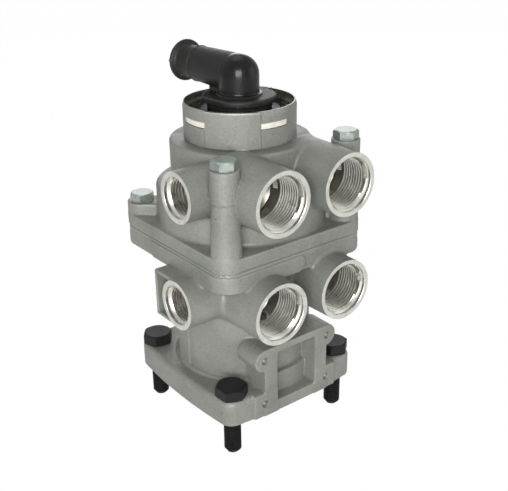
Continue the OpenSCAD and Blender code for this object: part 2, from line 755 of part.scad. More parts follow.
module primary_guide_seal() color([0.1, 0.1, 0.1])
    o_ring(primary_guide_r - seal_r - 2 * hair, primary_shelf_z + guide_t / 2);

module primary_guide_ring() color([0.5, 0.5, 0.52])
    snap_ring(primary_guide_r + 0.8, primary_guide_r - 2.5, primary_shelf_z + guide_t + 0.05, ring_t);

module relay_piston() color([0.66, 0.66, 0.62])
    stem_piston(relay_bore_r - slip, relay_low_z, relay_t, secondary_seat_top - valve_gap,
        relay_low_z + relay_t / 2);

module relay_piston_seal() color([0.1, 0.1, 0.1])
    o_ring(relay_bore_r - slip - seal_r - hair, relay_low_z + relay_t / 2);

module relay_return_spring() color([0.45, 0.45, 0.47])
    coil(relay_coil_r, relay_wire_r, relay_low_z + relay_t + 0.1, relay_roof_z - 0.1, 3);

module secondary_valve() color([0.2, 0.2, 0.2])
    seat_valve(secondary_disc_r, secondary_seat_top + 0.05, secondary_shelf_z + guide_t);

module secondary_valve_spring() color([0.45, 0.45, 0.47])
    coil(tube_r + 1.6, spring_wire_r, secondary_seat_top + disc_t + 0.15,
        secondary_shelf_z - 0.1, 2);

module secondary_valve_guide() color([0.7, 0.66, 0.5])
    valve_guide(secondary_guide_r, secondary_shelf_z);

module secondary_guide_seal() color([0.1, 0.1, 0.1])
    o_ring(secondary_guide_r - seal_r - 2 * hair, secondary_shelf_z + guide_t / 2);

module secondary_guide_ring() color([0.5, 0.5, 0.52])
    snap_ring(secondary_guide_r + 0.8, secondary_guide_r - 2.5,
        secondary_shelf_z + guide_t + 0.05, ring_t);

// Cup that fills the collar, with a waist for the snap ring and a groove for its seal
module exhaust_cup() color([0.1, 0.1, 0.1]) {
    cup_r = collar_bore_r - 0.3;
    waist_low = ledge_z + slot_low;
    waist_high = waist_low + slot_h;
    seal_z = cup_seat_z + 2.4;
    difference() {
        bar(cup_r, cup_seat_z, cup_top_z);
        ring(cup_r + 1, cup_r - 2.2, waist_low, waist_high);
        ring(cup_r + 1, cup_r - groove_depth, seal_z - groove_w / 2, seal_z + groove_w / 2);
        bar(cup_bore_r + slip, cup_seat_z - cut, cup_top_z + cut);
    }
}

module exhaust_cup_seal() color([0.1, 0.1, 0.1])
    o_ring(collar_bore_r - seal_r - hair, cup_seat_z + 2.4);

// Split nylon ring whose four lugs catch in the collar's slots
module cup_snap_ring() color([0.9, 0.89, 0.84]) {
    low = ledge_z + slot_low + 0.1;
    high = low + slot_h - 0.2;
    difference() {
        union() {
            ring(collar_bore_r - 0.1, collar_bore_r - 2.3, low, high);
            for (i = [0:3]) rotate(90 * i) intersection() {
                ring(collar_r - 0.8, collar_bore_r - 1, low, high);
                linear_extrude(2 * rim_z) polygon([[0, 0],
                    for (b = [-0.46, 0, lug_ends[i]])
                        2 * collar_r * [cos(b * slot_turn), sin(b * slot_turn)]]);
            }
        }
        rotate(45) translate([0, -1.5, low - cut]) cube([collar_r, 3, slot_h + 2 * cut]);
    }
}

// Elbow that swivels in the cup, with a round plate, a domed knee and a beaded mouth
module exhaust_elbow() color([0.08, 0.08, 0.08]) {
    hub_z = cup_top_z + 0.2;
    plate_z = cup_top_z + elbow_plate_lift;
    plate_top = plate_z + elbow_plate_t;
    stem_low = cup_seat_z - 1.9;
    neck = elbow_reach - elbow_neck_l;
    rotate(elbow_turn) difference() {
        union() {
            difference() {
                bar(elbow_plate_r, plate_z, plate_top);
                translate([-elbow_plate_r - 1, -elbow_plate_r, plate_z - cut])
                    cube([2.4, 2 * elbow_plate_r, elbow_plate_t + 2 * cut]);
            }
            bar(cup_bore_r, stem_low, hub_z + cut);
            translate([0, 0, stem_low])
                cylinder(r1 = cup_bore_r, r2 = cup_bore_r + 1.6, h = 1.6);
            bar(elbow_hub_r, hub_z, plate_z + cut);
            bar(riser_r + 1.2, plate_top - cut, plate_top + 0.8);
            bar(riser_r, plate_top - cut, elbow_z);
            translate([0, 0, elbow_z]) sphere(r = riser_r);
            translate([0, 0, elbow_z]) rotate([-90, 0, 0]) {
                cylinder(r1 = riser_r - 0.1, r2 = elbow_r, h = neck);
                cylinder(r = elbow_r - 0.5, h = elbow_reach - 1);
                translate([0, 0, elbow_reach - 3])
                    cylinder(r1 = elbow_r - 0.5, r2 = elbow_bead_r, h = 1.4);
                translate([0, 0, elbow_reach - 1.6]) cylinder(r = elbow_bead_r, h = 1.6);
            }
            translate([-elbow_block_w / 2, 0, plate_top - cut])
                cube([elbow_block_w, elbow_block_l, elbow_z - plate_top - elbow_r + 2]);
        }
        bar(elbow_bore_r, stem_low - cut, elbow_z);
        translate([0, 0, elbow_z]) sphere(r = elbow_bore_r);
        translate([0, 0, elbow_z]) rotate([-90, 0, 0])
            cylinder(r = elbow_bore_r, h = elbow_reach + cut);
    }
}

lower_housing();
upper_housing();
housing_seal();
long_housing_bolts();
short_housing_bolts();
mounting_bolts();
plunger_guide();
plunger_guide_ring();
plunger();
dust_boot();
graduating_spring();
primary_piston();
primary_piston_seal();
primary_return_spring();
primary_valve();
primary_valve_spring();
primary_valve_guide();
primary_guide_seal();
primary_guide_ring();
relay_piston();
relay_piston_seal();
relay_return_spring();
secondary_valve();
secondary_valve_spring();
secondary_valve_guide();
secondary_guide_seal();
secondary_guide_ring();
exhaust_cup();
exhaust_cup_seal();
cup_snap_ring();
exhaust_elbow();
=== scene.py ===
import math

import bmesh
import bpy
import numpy as np
from mathutils import Matrix, Vector


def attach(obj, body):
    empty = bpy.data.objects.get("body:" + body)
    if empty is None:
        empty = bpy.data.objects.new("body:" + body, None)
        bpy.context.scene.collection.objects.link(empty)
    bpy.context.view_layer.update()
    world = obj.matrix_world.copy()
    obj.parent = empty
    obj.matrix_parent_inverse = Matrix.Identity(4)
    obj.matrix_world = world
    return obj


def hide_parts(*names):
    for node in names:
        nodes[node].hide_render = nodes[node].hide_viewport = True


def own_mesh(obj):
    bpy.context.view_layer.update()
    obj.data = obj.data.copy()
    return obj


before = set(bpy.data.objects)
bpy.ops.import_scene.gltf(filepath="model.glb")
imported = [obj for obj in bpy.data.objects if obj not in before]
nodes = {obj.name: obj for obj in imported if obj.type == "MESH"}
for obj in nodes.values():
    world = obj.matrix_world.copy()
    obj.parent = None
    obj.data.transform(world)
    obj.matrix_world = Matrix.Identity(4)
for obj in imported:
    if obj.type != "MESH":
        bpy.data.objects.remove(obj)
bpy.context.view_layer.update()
print("frame loaded:", len(nodes), "CAD nodes")

# All sizes below are in millimetres and degrees unless a note says otherwise.
mm = 0.001

photoView = {
    "eye": (-214.96, -286.71, 224.92),
    "azimuth": -36.86,
    "elevation": 24.1,
    "yaw": 0.8,
    "pitch": -0.22,
    "roll": 1.13,
    "lens": 58.85,
    "sensor": 36.0,
}


def makeCamera(view):
    azimuth, elevation = math.radians(view["azimuth"]), math.radians(view["elevation"])
    back = Vector((math.sin(azimuth) * math.cos(elevation),
                   -math.cos(azimuth) * math.cos(elevation), math.sin(elevation)))
    right = (-back).cross(Vector((0, 0, 1))).normalized()
    up = right.cross(-back)
    turn = (Matrix.Rotation(math.radians(view["roll"]), 3, "Z")
            @ Matrix.Rotation(math.radians(view["pitch"]), 3, "X")
            @ Matrix.Rotation(math.radians(view["yaw"]), 3, "Y")
            @ Matrix((right, up, back)))
    data = bpy.data.cameras.new("photoCamera")
    data.sensor_fit = "HORIZONTAL"
    data.sensor_width = view["sensor"]
    data.lens = view["lens"]
    data.clip_start = 0.01
    camera = bpy.data.objects.new("photoCamera", data)
    bpy.context.scene.collection.objects.link(camera)
    camera.matrix_world = Matrix.Translation(Vector(view["eye"]) * mm) @ turn.transposed().to_4x4()
    bpy.context.scene.camera = camera


makeCamera(photoView)


def newMaterial(name):
    material = bpy.data.materials.new(name)
    material.use_nodes = True
    return material, material.node_tree, material.node_tree.nodes["Principled BSDF"]


def noise(tree, scale, detail=2.0, roughness=0.5, stretch=None):
    coordinate = tree.nodes.new("ShaderNodeTexCoord")
    texture = tree.nodes.new("ShaderNodeTexNoise")
    texture.inputs["Scale"].default_value = scale
    texture.inputs["Detail"].default_value = detail
    texture.inputs["Roughness"].default_value = roughness
    source = coordinate.outputs["Object"]
    if stretch:
        mapping = tree.nodes.new("ShaderNodeMapping")
        mapping.inputs["Scale"].default_value = stretch
        tree.links.new(source, mapping.inputs["Vector"])
        source = mapping.outputs["Vector"]
    tree.links.new(source, texture.inputs["Vector"])
    return texture.outputs["Fac"]


def ramp(tree, value, *stops):
    node = tree.nodes.new("ShaderNodeValToRGB")
    elements = node.color_ramp.elements
    while len(elements) < len(stops):
        elements.new(0.5)
    for element, (place, colour) in zip(elements, stops):
        element.position = place
        element.color = (*(colour if hasattr(colour, "__len__") else [colour] * 3), 1.0)
    tree.links.new(value, node.inputs["Fac"])
    return node.outputs["Color"]


def feed(tree, socket, value):
    # another node's socket is linked, a number or colour is set
    if isinstance(value, bpy.types.NodeSocket):
        tree.links.new(value, socket)
    else:
        socket.default_value = (*value, 1.0) if hasattr(value, "__len__") else value


def mix(tree, kind, amount, first, second):
    node = tree.nodes.new("ShaderNodeMix")
    node.data_type = "RGBA"
    node.blend_type = kind
    for n, value in ((0, amount), (6, first), (7, second)):  # factor, colour A and colour B
        feed(tree, node.inputs[n], value)
    return node.outputs[2]


def reckon(tree, operation, first, second):
    node = tree.nodes.new("ShaderNodeMath")
    node.operation = operation
    feed(tree, node.inputs[0], first)
    feed(tree, node.inputs[1], second)
    return node.outputs[0]


def bump(tree, shader, *layers):
    # each layer is (height, strength, distance in metres), from the coarsest to the finest
    normal = None
    for height, strength, distance in layers:
        node = tree.nodes.new("ShaderNodeBump")
        node.inputs["Strength"].default_value = strength
        node.inputs["Distance"].default_value = distance
        tree.links.new(height, node.inputs["Height"])
        if normal is not None:
            tree.links.new(normal, node.inputs["Normal"])
        normal = node.outputs["Normal"]
    tree.links.new(normal, shader.inputs["Normal"])


def pointiness(tree):
    return tree.nodes.new("ShaderNodeNewGeometry").outputs["Pointiness"]


castFinish = {
    "dark": (0.208, 0.213, 0.192),
    "pale": (0.284, 0.29, 0.263),
    "metallic": 0.2,
    "roughness": (0.4, 0.56),
    "grainScale": 1500.0,
    "grainHeight": 0.00014,
    # painted shade darkens the creases and hollows, a painted highlight brightens the convex edges
    "paintedCreaseShade": 0.72,
    "paintedEdgeHighlight": 1.12,
}


def makeCastAluminium(name, finish):
    material, tree, shader = newMaterial(name)
    cloud = noise(tree, 45.0, 4.0, 0.55)
    grain = noise(tree, finish["grainScale"], 3.0, 0.6)
    colour = ramp(tree, cloud, (0.3, finish["dark"]), (0.7, finish["pale"]))
    speck = ramp(tree, grain, (0.3, 0.7), (0.62, 1.14))
    colour = mix(tree, "MULTIPLY", 0.6, colour, speck)
    pits = ramp(tree, noise(tree, 620.0, 2.0, 0.7), (0.27, 0.35), (0.31, 1.0))
    colour = mix(tree, "MULTIPLY", 0.7, colour, pits)
    # by pointiness: painted shade in creases, painted highlight on convex edges
    paintedEdgeLight = ramp(tree, pointiness(tree), (0.42, finish["paintedCreaseShade"]), (0.5, 1.0),
                 (0.58, finish["paintedEdgeHighlight"]))
    colour = mix(tree, "MULTIPLY", 1.0, colour, paintedEdgeLight)
    tree.links.new(colour, shader.inputs["Base Color"])
    shader.inputs["Metallic"].default_value = finish["metallic"]
    rough = ramp(tree, noise(tree, 160.0, 3.0), (0.3, finish["roughness"][0]),
                 (0.7, finish["roughness"][1]))
    tree.links.new(rough, shader.inputs["Roughness"])
    bump(tree, shader, (noise(tree, 260.0, 2.0), 0.3, 0.0003),
         (grain, 0.5, finish["grainHeight"]))
    return material


def makeMetal(name, dark, pale, roughness, metallic=1.0, scale=300.0, bumpHeight=0.00003,
              stretch=None, paintedHighlightGain=1.0):
    material, tree, shader = newMaterial(name)
    spots = noise(tree, scale, 3.0, 0.6, stretch)
    colour = ramp(tree, spots, (0.3, dark), (0.7, pale))
    if paintedHighlightGain > 1.0:  # convex edges are painted paler, a painted highlight
        colour = mix(tree, "MULTIPLY", 1.0, colour,
                     ramp(tree, pointiness(tree), (0.52, 1.0), (0.62, paintedHighlightGain)))
    tree.links.new(colour, shader.inputs["Base Color"])
    tree.links.new(ramp(tree, spots, (0.25, roughness[0]), (0.75, roughness[1])),
                   shader.inputs["Roughness"])
    shader.inputs["Metallic"].default_value = metallic
    bump(tree, shader, (noise(tree, scale * 4.0, 2.0, 0.5, stretch), 0.3, bumpHeight))
    return material


def makePlain(name, dark, pale, roughness, scale=400.0, bumpHeight=0.00005, gloss=0.5,
              stretch=None, paintedHighlightGain=1.0):
    material = makeMetal(name, dark, pale, roughness, 0.0, scale, bumpHeight, stretch, paintedHighlightGain)
    shader = material.node_tree.nodes["Principled BSDF"]
    shader.inputs["Specular IOR Level"].default_value = gloss
    return material


castAluminium = makeCastAluminium("castAluminium", castFinish)
machinedAluminium = makeMetal("machinedAluminium", (0.7, 0.695, 0.64), (0.86, 0.855, 0.8),
                              (0.26, 0.38), 1.0, 240.0, 0.00001)
# the thread grooves take this finish, darker than the machined one
threadAluminium = makeMetal("threadAluminium", (0.62, 0.61, 0.55), (0.78, 0.77, 0.71),
                            (0.24, 0.38), 1.0, 300.0, 0.00001)
# a darker copy of the machined finish: painted shade in the deep bores and inside the collar
paintedShadeAluminium = makeMetal("paintedShadeAluminium", (0.2, 0.19, 0.155), (0.36, 0.35, 0.31),
                          (0.24, 0.4), 0.9, 160.0, 0.00002)
collarAluminium = makeMetal("collarAluminium", (0.36, 0.36, 0.32), (0.46, 0.46, 0.42),
                            (0.34, 0.46), 0.45, 240.0, 0.00001)
turnedAluminium = makeMetal("turnedAluminium", (0.55, 0.55, 0.52), (0.72, 0.72, 0.7),
                            (0.28, 0.4), 1.0, 300.0)
zincPlate = makeMetal("zincPlate", (0.27, 0.31, 0.29), (0.48, 0.53, 0.49), (0.26, 0.46), 0.8, 420.0,
                      0.00004)
blackSteel = makePlain("blackSteel", (0.005, 0.005, 0.0053), (0.011, 0.011, 0.0115), (0.4, 0.6),
                       700.0, 0.00004, 0.3)
# the last number paints the convex edges six times paler: a painted highlight
satinPlastic = makePlain("satinPlastic", (0.013, 0.013, 0.0125), (0.021, 0.021, 0.02),
                         (0.4, 0.55), 300.0, 0.00004, 0.28, None, 6.0)
glossPlastic = makePlain("glossPlastic", (0.005, 0.005, 0.005), (0.01, 0.01, 0.01),
                         (0.14, 0.3), 220.0, 0.0004, 0.32, (1.0, 1.0, 0.22))
blackPlastic = makePlain("blackPlastic", (0.004, 0.004, 0.004), (0.008, 0.008, 0.008),
                         (0.3, 0.45), 350.0, 0.00005, 0.25)
blackRubber = makePlain("blackRubber", (0.014, 0.014, 0.014), (0.028, 0.028, 0.028),
                        (0.55, 0.7), 600.0, 0.00008)
valveRubber = makePlain("valveRubber", (0.02, 0.02, 0.02), (0.04, 0.04, 0.04), (0.5, 0.65))
whiteNylon = makePlain("whiteNylon", (0.7, 0.68, 0.57), (0.84, 0.82, 0.73), (0.35, 0.5))
springSteel = makeMetal("springSteel", (0.3, 0.3, 0.31), (0.5, 0.5, 0.5), (0.3, 0.42))
ringSteel = makeMetal("ringSteel", (0.16, 0.16, 0.17), (0.3, 0.3, 0.31), (0.35, 0.5))
yellowZinc = makeMetal("yellowZinc", (0.55, 0.42, 0.2), (0.72, 0.6, 0.34), (0.3, 0.42))
brass = makeMetal("brass", (0.6, 0.44, 0.2), (0.78, 0.62, 0.34), (0.28, 0.4))
print("finishes made")


# The cast and moulded bodies start as distance fields, which are below zero inside.
def rounded(side, end, edge):
    side, end = side + edge, end + edge
    return (np.minimum(np.maximum(side, end), 0)
            + np.hypot(np.maximum(side, 0), np.maximum(end, 0)) - edge)


def barField(u, v, w, radius, low, high, edge=0.0, draft=0.0):
    # round bar along w; draft is the loss of radius per millimetre of height
    side = np.hypot(u, v) - (radius - draft * (w - low))
    end = np.abs(w - (low + high) / 2) - (high - low) / 2
    return rounded(side, end, edge)


def squareField(x, y, half, corner):
    qx, qy = np.abs(x) - (half - corner), np.abs(y) - (half - corner)
    outside = np.hypot(np.maximum(qx, 0), np.maximum(qy, 0))
    return outside + np.minimum(np.maximum(qx, qy), 0) - corner


def plateField(x, y, z, half, corner, low, high, edge):
    return rounded(squareField(x, y, half, corner),
                   np.abs(z - (low + high) / 2) - (high - low) / 2, edge)


def boxField(x, y, z, low, high, edge):
    q = [np.abs(c - (a + b) / 2) - (b - a) / 2 + edge for c, a, b in zip((x, y, z), low, high)]
    outside = np.sqrt(sum(np.maximum(side, 0) ** 2 for side in q))
    return outside + np.minimum(np.maximum(np.maximum(q[0], q[1]), q[2]), 0) - edge


def turnedBox(x, y, z, sx, sy, near, far, half, low, high):
    # box on the diagonal of one corner, from near to far along it
    root = math.sqrt(0.5)
    along = (sx * x + sy * y) * root
    across = (sy * x - sx * y) * root
    return boxField(along, across, z, (near, -half, low), (far, half, high), 0.4)


def bossField(u, v, w, s, kind):
    # port boss along w, left long so that the port's cutter squares its end
    low, draft = s[kind + "Root"]
    return barField(u, v, w, s[kind + "Radius"] + 0.5, low, s[kind + "Reach"] + 1.5, 0.0, draft)


def join(first, second, fillet=0.0):
    if not fillet:
        return np.minimum(first, second)
    near = np.maximum(fillet - np.abs(first - second), 0) / fillet
    return np.minimum(first, second) - near * near * fillet / 4


lowerCast = {
    "flangeHalf": 39.75, "flangeCorner": 6.0, "flangeBow": 290.0, "flangeThick": 12.4,
    "flangeEdge": 2.2, "ringRadius": 33.3, "ringHeight": 13.5, "columnRadius": 31.8,
    "jointHeight": 76.6, "jointHalf": 40.3, "jointCorner": 8.5, "jointThick": 9.0,
    "boltPlace": 33.1, "mountPlace": 31.0, "portPlace": 18.2, "portRadius": 14.0,
    "portHeight": 57.2, "portReach": 51.2, "smallPlace": -17.8, "smallRadius": 11.1,
    "smallHeight": 58.3, "smallReach": 49.2, "lugLength": 17.4, "lugWall": 1.6, "lugPocket": 12.0,
    "earPlace": 18.45, "earHeight": 28.9, "earRadius": 5.3, "postOuter": 18.55,
    "windowHalf": 11.15, "windowLow": 5.8, "windowHigh": 30.9, "bracketFront": 39.85,
    "bracketBack": 26.0, "footHalf": 24.3, "plinthRadius": 34.3, "plinthHeight": 15.4,
    "dimpleRadius": 1.9, "padHeight": 7.6, "padTop": 1.3, "padProud": 0.7, "padEnd": 14.0,
    "noseRadius": 6.9, "noseDrop": 1.2, "noseEdge": 2.4, "jointFillet": 4.0, "bossFillet": 2.2,
    "portRoot": (14.0, 0.0133), "smallRoot": (14.0, 0.014),  # where a boss starts, and its draft
    "net": ((-53, -55, -2), (43, 43, 79.5), 0.6),  # two corners and the size of the mesh
    "mountHole": (4.4, -1.0, 13.5), "threadHole": (3.03, 68.1, 78.4),  # radius, low, high
    "bore": [(22.0, -1.0, 1.3), (23.0, 1.3, 2.55), (22.0, 2.55, 6.6), (21.0, 6.6, 52.4),
             (10.0, 52.4, 55.4), (17.0, 55.4, 65.4), (19.0, 65.4, 71.4), (20.0, 71.4, 72.7),
             (19.0, 72.7, 78.4)],
    "passages": [("deliveryPassage", 2.8, -22.0, 0.0, (-15.5, -35.2, 49.5), (0, -1, 0)),
                 ("supplyPassage", 3.8, -26.0, 0.0, (13.0, -35.2, 59.9), (0, -1, 0)),
                 ("smallPassage", 3.4, -29.0, 0.0, (-37.2, -14.0, 59.9), (-1, 0, 0))],
}


def flangeField(x, y, z, s):
    # plate with four bowed sides that run smoothly into round corners
    bow, corner = s["flangeBow"], s["flangeCorner"]
    back = bow - s["flangeHalf"]
    place = (math.sqrt(2 * (bow - corner) ** 2 - back ** 2) - back) / 2
    slope = place / (place + back)
    ax, ay = np.abs(x), np.abs(y)
    side = np.maximum(np.hypot(ax + back, y), np.hypot(x, ay + back)) - bow
    wedge = (ay > (ax + back) * slope) & (ax > (ay + back) * slope)
    side = np.where(wedge, np.hypot(ax - place, ay - place) - corner, side)
    return rounded(rounded(side, z - s["flangeThick"], s["flangeEdge"]), -z, 0.5)


def bracketField(x, y, z, s):
    across = np.abs(x)
    ears = np.hypot(across - s["earPlace"], z - s["earHeight"]) - s["earRadius"]
    tall = s["windowHigh"] + 0.6  # the posts reach past the window's upper corners
    post = np.maximum(np.abs(across - (s["windowHalf"] + s["postOuter"]) / 2)
                      - (s["postOuter"] - s["windowHalf"]) / 2,
                      np.abs(z - tall / 2) - tall / 2)
    top = s["earHeight"] + s["earRadius"]
    bar = np.maximum(across - s["earPlace"],
                     np.abs(z - (s["windowHigh"] - 1 + top) / 2) - (top - s["windowHigh"] + 1) / 2)
    outline = join(join(ears, post, 0.6), bar, 0.3)
    front, back = s["bracketFront"], s["bracketBack"]
    body = rounded(outline, np.abs(y + (front + back) / 2) - (front - back) / 2, 0.45)
    foot = boxField(x, y, z, (-s["footHalf"], -front, 0.0),
                    (s["footHalf"], -s["plinthRadius"], s["flangeThick"]), 0.6)
    return body, foot


def lowerField(x, y, z):
    s = lowerCast
    bracket, foot = bracketField(x, y, z, s)
    body = join(join(flangeField(x, y, z, s), foot, 0.8), bracket, 1.2)
    window = boxField(x, y, z, (-s["windowHalf"], -60.0, s["windowLow"]),
                      (s["windowHalf"], -s["bracketBack"], s["windowHigh"]), 1.0)
    body = rounded(body, -window, 0.5)
    column = barField(x, y, z, s["columnRadius"], 1.0, s["jointHeight"] - 1)
    ring = barField(x, y, z, s["ringRadius"], 1.0, s["ringHeight"], 0.8)
    ring = np.maximum(ring, -boxField(x, y, z, (-s["windowHalf"], -60.0, 0.0),
                                      (s["windowHalf"], -20.0, 40.0), 0.2))
    plinth = np.maximum(barField(x, y, z, s["plinthRadius"], 1.0, s["plinthHeight"], 0.7),
                        np.maximum(np.abs(x) - s["windowHalf"] - 1, y + s["bracketBack"]))
    body = join(body, join(join(column, ring, 0.8), plinth, 0.8), 1.2)
    pilaster = boxField(x, y, z, (-s["columnRadius"] - 0.5, 0.5, 6.0), (-24.0, 9.0, 50.0), 0.6)
    body = join(body, pilaster, 0.8)
    low = s["jointHeight"] - s["jointThick"]
    top = plateField(x, y, z, s["jointHalf"], s["jointCorner"], low, s["jointHeight"], 0.45)
    for sx in (-1, 1):
        for sy in (-1, 1):
            nose = barField(x - sx * s["boltPlace"], y - sy * s["boltPlace"], z, s["noseRadius"],
                            low - s["noseDrop"], s["jointHeight"] - 2, s["noseEdge"])
            top = join(top, nose, 0.3)
    body = join(body, top, s["jointFillet"])
    for side in (-1, 1):
        boss = bossField(x - side * s["portPlace"], z - s["portHeight"], -y, s, "port")
        body = join(body, boss, s["bossFillet"])
    small = bossField(y - s["smallPlace"], z - s["smallHeight"], -x, s, "small")
    lugLow = (-s["smallReach"] + 0.3, s["smallPlace"] + 1.0, s["smallHeight"] - s["smallRadius"])
    lugHigh = (-24.0, s["smallPlace"] + s["lugLength"], s["smallHeight"] + s["smallRadius"])
    lug = boxField(x, y, z, lugLow, lugHigh, 0.8)
    body = join(body, join(small, lug, 0.6), s["bossFillet"])
    wall = s["lugWall"]
    mouth = (-s["smallReach"] - 9.0, s["smallPlace"] + 4.0, lugLow[2] + wall)
    heel = (-s["smallReach"] + s["lugPocket"], lugHigh[1] - wall, lugHigh[2] - wall)
    pocket = boxField(x, y, z, mouth, heel, 0.9)
    pocket = np.maximum(pocket, -(np.hypot(y - s["smallPlace"], z - s["smallHeight"])
                                  - s["smallRadius"] - 0.1))
    body = rounded(body, -pocket, 0.3)
    middle = s["jointHeight"] - s["padTop"] - s["padHeight"] / 2
    pad = np.hypot(np.maximum(x, 0), z - middle) - s["padHeight"] / 2
    outline = squareField(x, y, s["jointHalf"] + s["padProud"], s["jointCorner"] + s["padProud"])
    pad = np.maximum(rounded(pad, outline, 0.35), y - s["padEnd"])
    return join(body, pad, 0.3)


upperCast = {
    "jointHeight": 76.6, "jointHalf": 40.3, "jointCorner": 8.5, "jointThick": 6.2,
    "baseRadius": 38.6, "baseHeight": 100.4, "bodyRadius": 31.6, "ledgeHeight": 120.4,
    "collarRadius": 25.1, "panelPlace": 45.1, "panelProud": 0.55, "panelWidth": 55.8,
    "rimHeight": 136.7, "rimStep": 3.2, "rimBore": 24.0, "boltPlace": 33.1, "towerFoot": 6.9,
    "towerTop": 6.4, "towerHeight": 120.1, "partingHeight": 106.7, "shortHeight": 88.0,
    "portPlace": 18.2, "portRadius": 14.0, "portHeight": 106.7, "portReach": 52.1,
    "smallPlace": -17.8, "smallRadius": 11.1, "smallHeight": 106.6, "smallReach": 46.8,
    "slots": [(-17.5, 17.5), (72.5, 107.5), (144.0, 195.8), (253.5, 289.0)], "slotLow": 128.9,
    "slotHigh": 131.6, "chamferLow": 134.9, "chamferDepth": 0.6, "headClear": 6.95,
    "towerDraft": 0.033, "web": (26.6, 46.8, 2.5), "block": (30.0, 46.8, 6.6),  # near, far, half
    "portRoot": (20.0, 0.0155), "smallRoot": (16.0, 0.016),  # where a boss starts, and its draft
    "net": ((-50, -56, 74.5), (43, 43, 140.5), 0.6),  # two corners and the size of the mesh
    "boltHole": (3.3, 75.4, 121.0),  # radius, low, high
    "bore": [(33.0, 75.4, 95.9), (14.0, 95.9, 99.4), (9.0, 99.4, 102.4), (15.0, 102.4, 110.8),
             (17.0, 110.8, 116.8), (18.0, 116.8, 118.1), (17.0, 118.1, 122.6)],
    "passages": [("supplyPassage", 3.4, -29.0, 0.0, (13.0, -36.1, 107.4), (0, -1, 0)),
                 ("smallPassage", 3.0, -30.0, 0.0, (-34.8, -14.0, 107.8), (-1, 0, 0)),
                 ("deliveryPassage", 2.8, 0.0, 13.0, (-18.2, -36.1, 99.7),
                  (0, math.sin(math.radians(118)), math.cos(math.radians(118))))],
}


def upperField(x, y, z):
    s = upperCast
    flange = plateField(x, y, z, s["jointHalf"], s["jointCorner"], s["jointHeight"],
                        s["jointHeight"] + s["jointThick"], 0.45)
    base = barField(x, y, z, s["baseRadius"], s["jointHeight"] + 1, s["baseHeight"], 1.6)
    body = join(flange, base, 1.6)
    trunk = barField(x, y, z, s["bodyRadius"], s["jointHeight"] + 2, s["ledgeHeight"], 1.1)
    body = join(body, trunk, 2.0)
    away = np.hypot(x, y)
    angle = np.degrees(np.arctan2(y, x)) - s["panelPlace"]  # two proud panels, opposite each other
    off = (np.abs((angle + 90) % 180 - 90) - s["panelWidth"] / 2) * math.radians(s["collarRadius"])
    panel = np.maximum(away - s["collarRadius"] - s["panelProud"], off)
    collar = join(away - s["collarRadius"], panel, 0.1)
    collar = np.maximum(collar, np.abs(z - s["ledgeHeight"] - 7) - 12)
    crease = np.maximum(np.abs(z - s["ledgeHeight"] - 0.1) - 0.45, s["collarRadius"] - 0.5 - away)
    body = join(body, np.maximum(collar, -crease), 0.2)
    for side in (-1, 1):  # each boss stays below the ledge where it nears the collar
        boss = bossField(x - side * s["portPlace"], z - s["portHeight"], -y, s, "port")
        roof = z - s["ledgeHeight"] + 0.3 - np.maximum(away - s["collarRadius"] - 1.5, 0)
        body = join(body, np.maximum(boss, roof), 1.7)
    small = bossField(y - s["smallPlace"], z - s["smallHeight"], -x, s, "small")
    body = join(body, small, 1.8)
    foot = s["jointHeight"] + 1
    for side in (-1, 1):
        across, along = x - side * s["boltPlace"], y + s["boltPlace"]
        lower = barField(across, along, z, s["towerFoot"], s["jointHeight"], s["partingHeight"],
                         0.0, s["towerDraft"])
        upper = barField(across, along, z, s["towerTop"], s["partingHeight"] - 0.3,
                         s["towerHeight"], 0.25)
        web = turnedBox(x, y, z, side, -1, *s["web"], foot, s["towerHeight"] - 3)
        body = join(body, np.minimum(np.minimum(lower, upper), web), 0.7)
        along = y - s["boltPlace"]
        short = barField(across, along, z, s["towerFoot"], foot, s["shortHeight"], 0.4)
        block = turnedBox(x, y, z, side, 1, *s["block"], foot, s["shortHeight"])
        body = join(body, np.minimum(short, block), 1.0)
    return body


elbowMould = {
    "turn": 4.0, "axisHeight": 148.5, "stemLow": 120.7, "stemRadius": 9.0, "hubLow": 133.0,
    "hubRadius": 14.4, "plateLow": 136.1, "plateHigh": 138.9, "plateRadius": 16.2,
    "plateFlat": 14.8, "footRadius": 10.0, "footHigh": 139.7, "riserRadius": 8.8,
    "tubeRadius": 8.7, "tubeEnd": 7.9, "neckPlace": 26.9, "neckRadius": 7.3, "reach": 37.9,
    "beadRadius": 9.4, "beadWidth": 1.9, "bore": 5.8, "blockHalf": 4.8, "blockLength": 15.2,
    "drop": 0.95, "nibRadius": 0.6, "flash": 0.3,
}


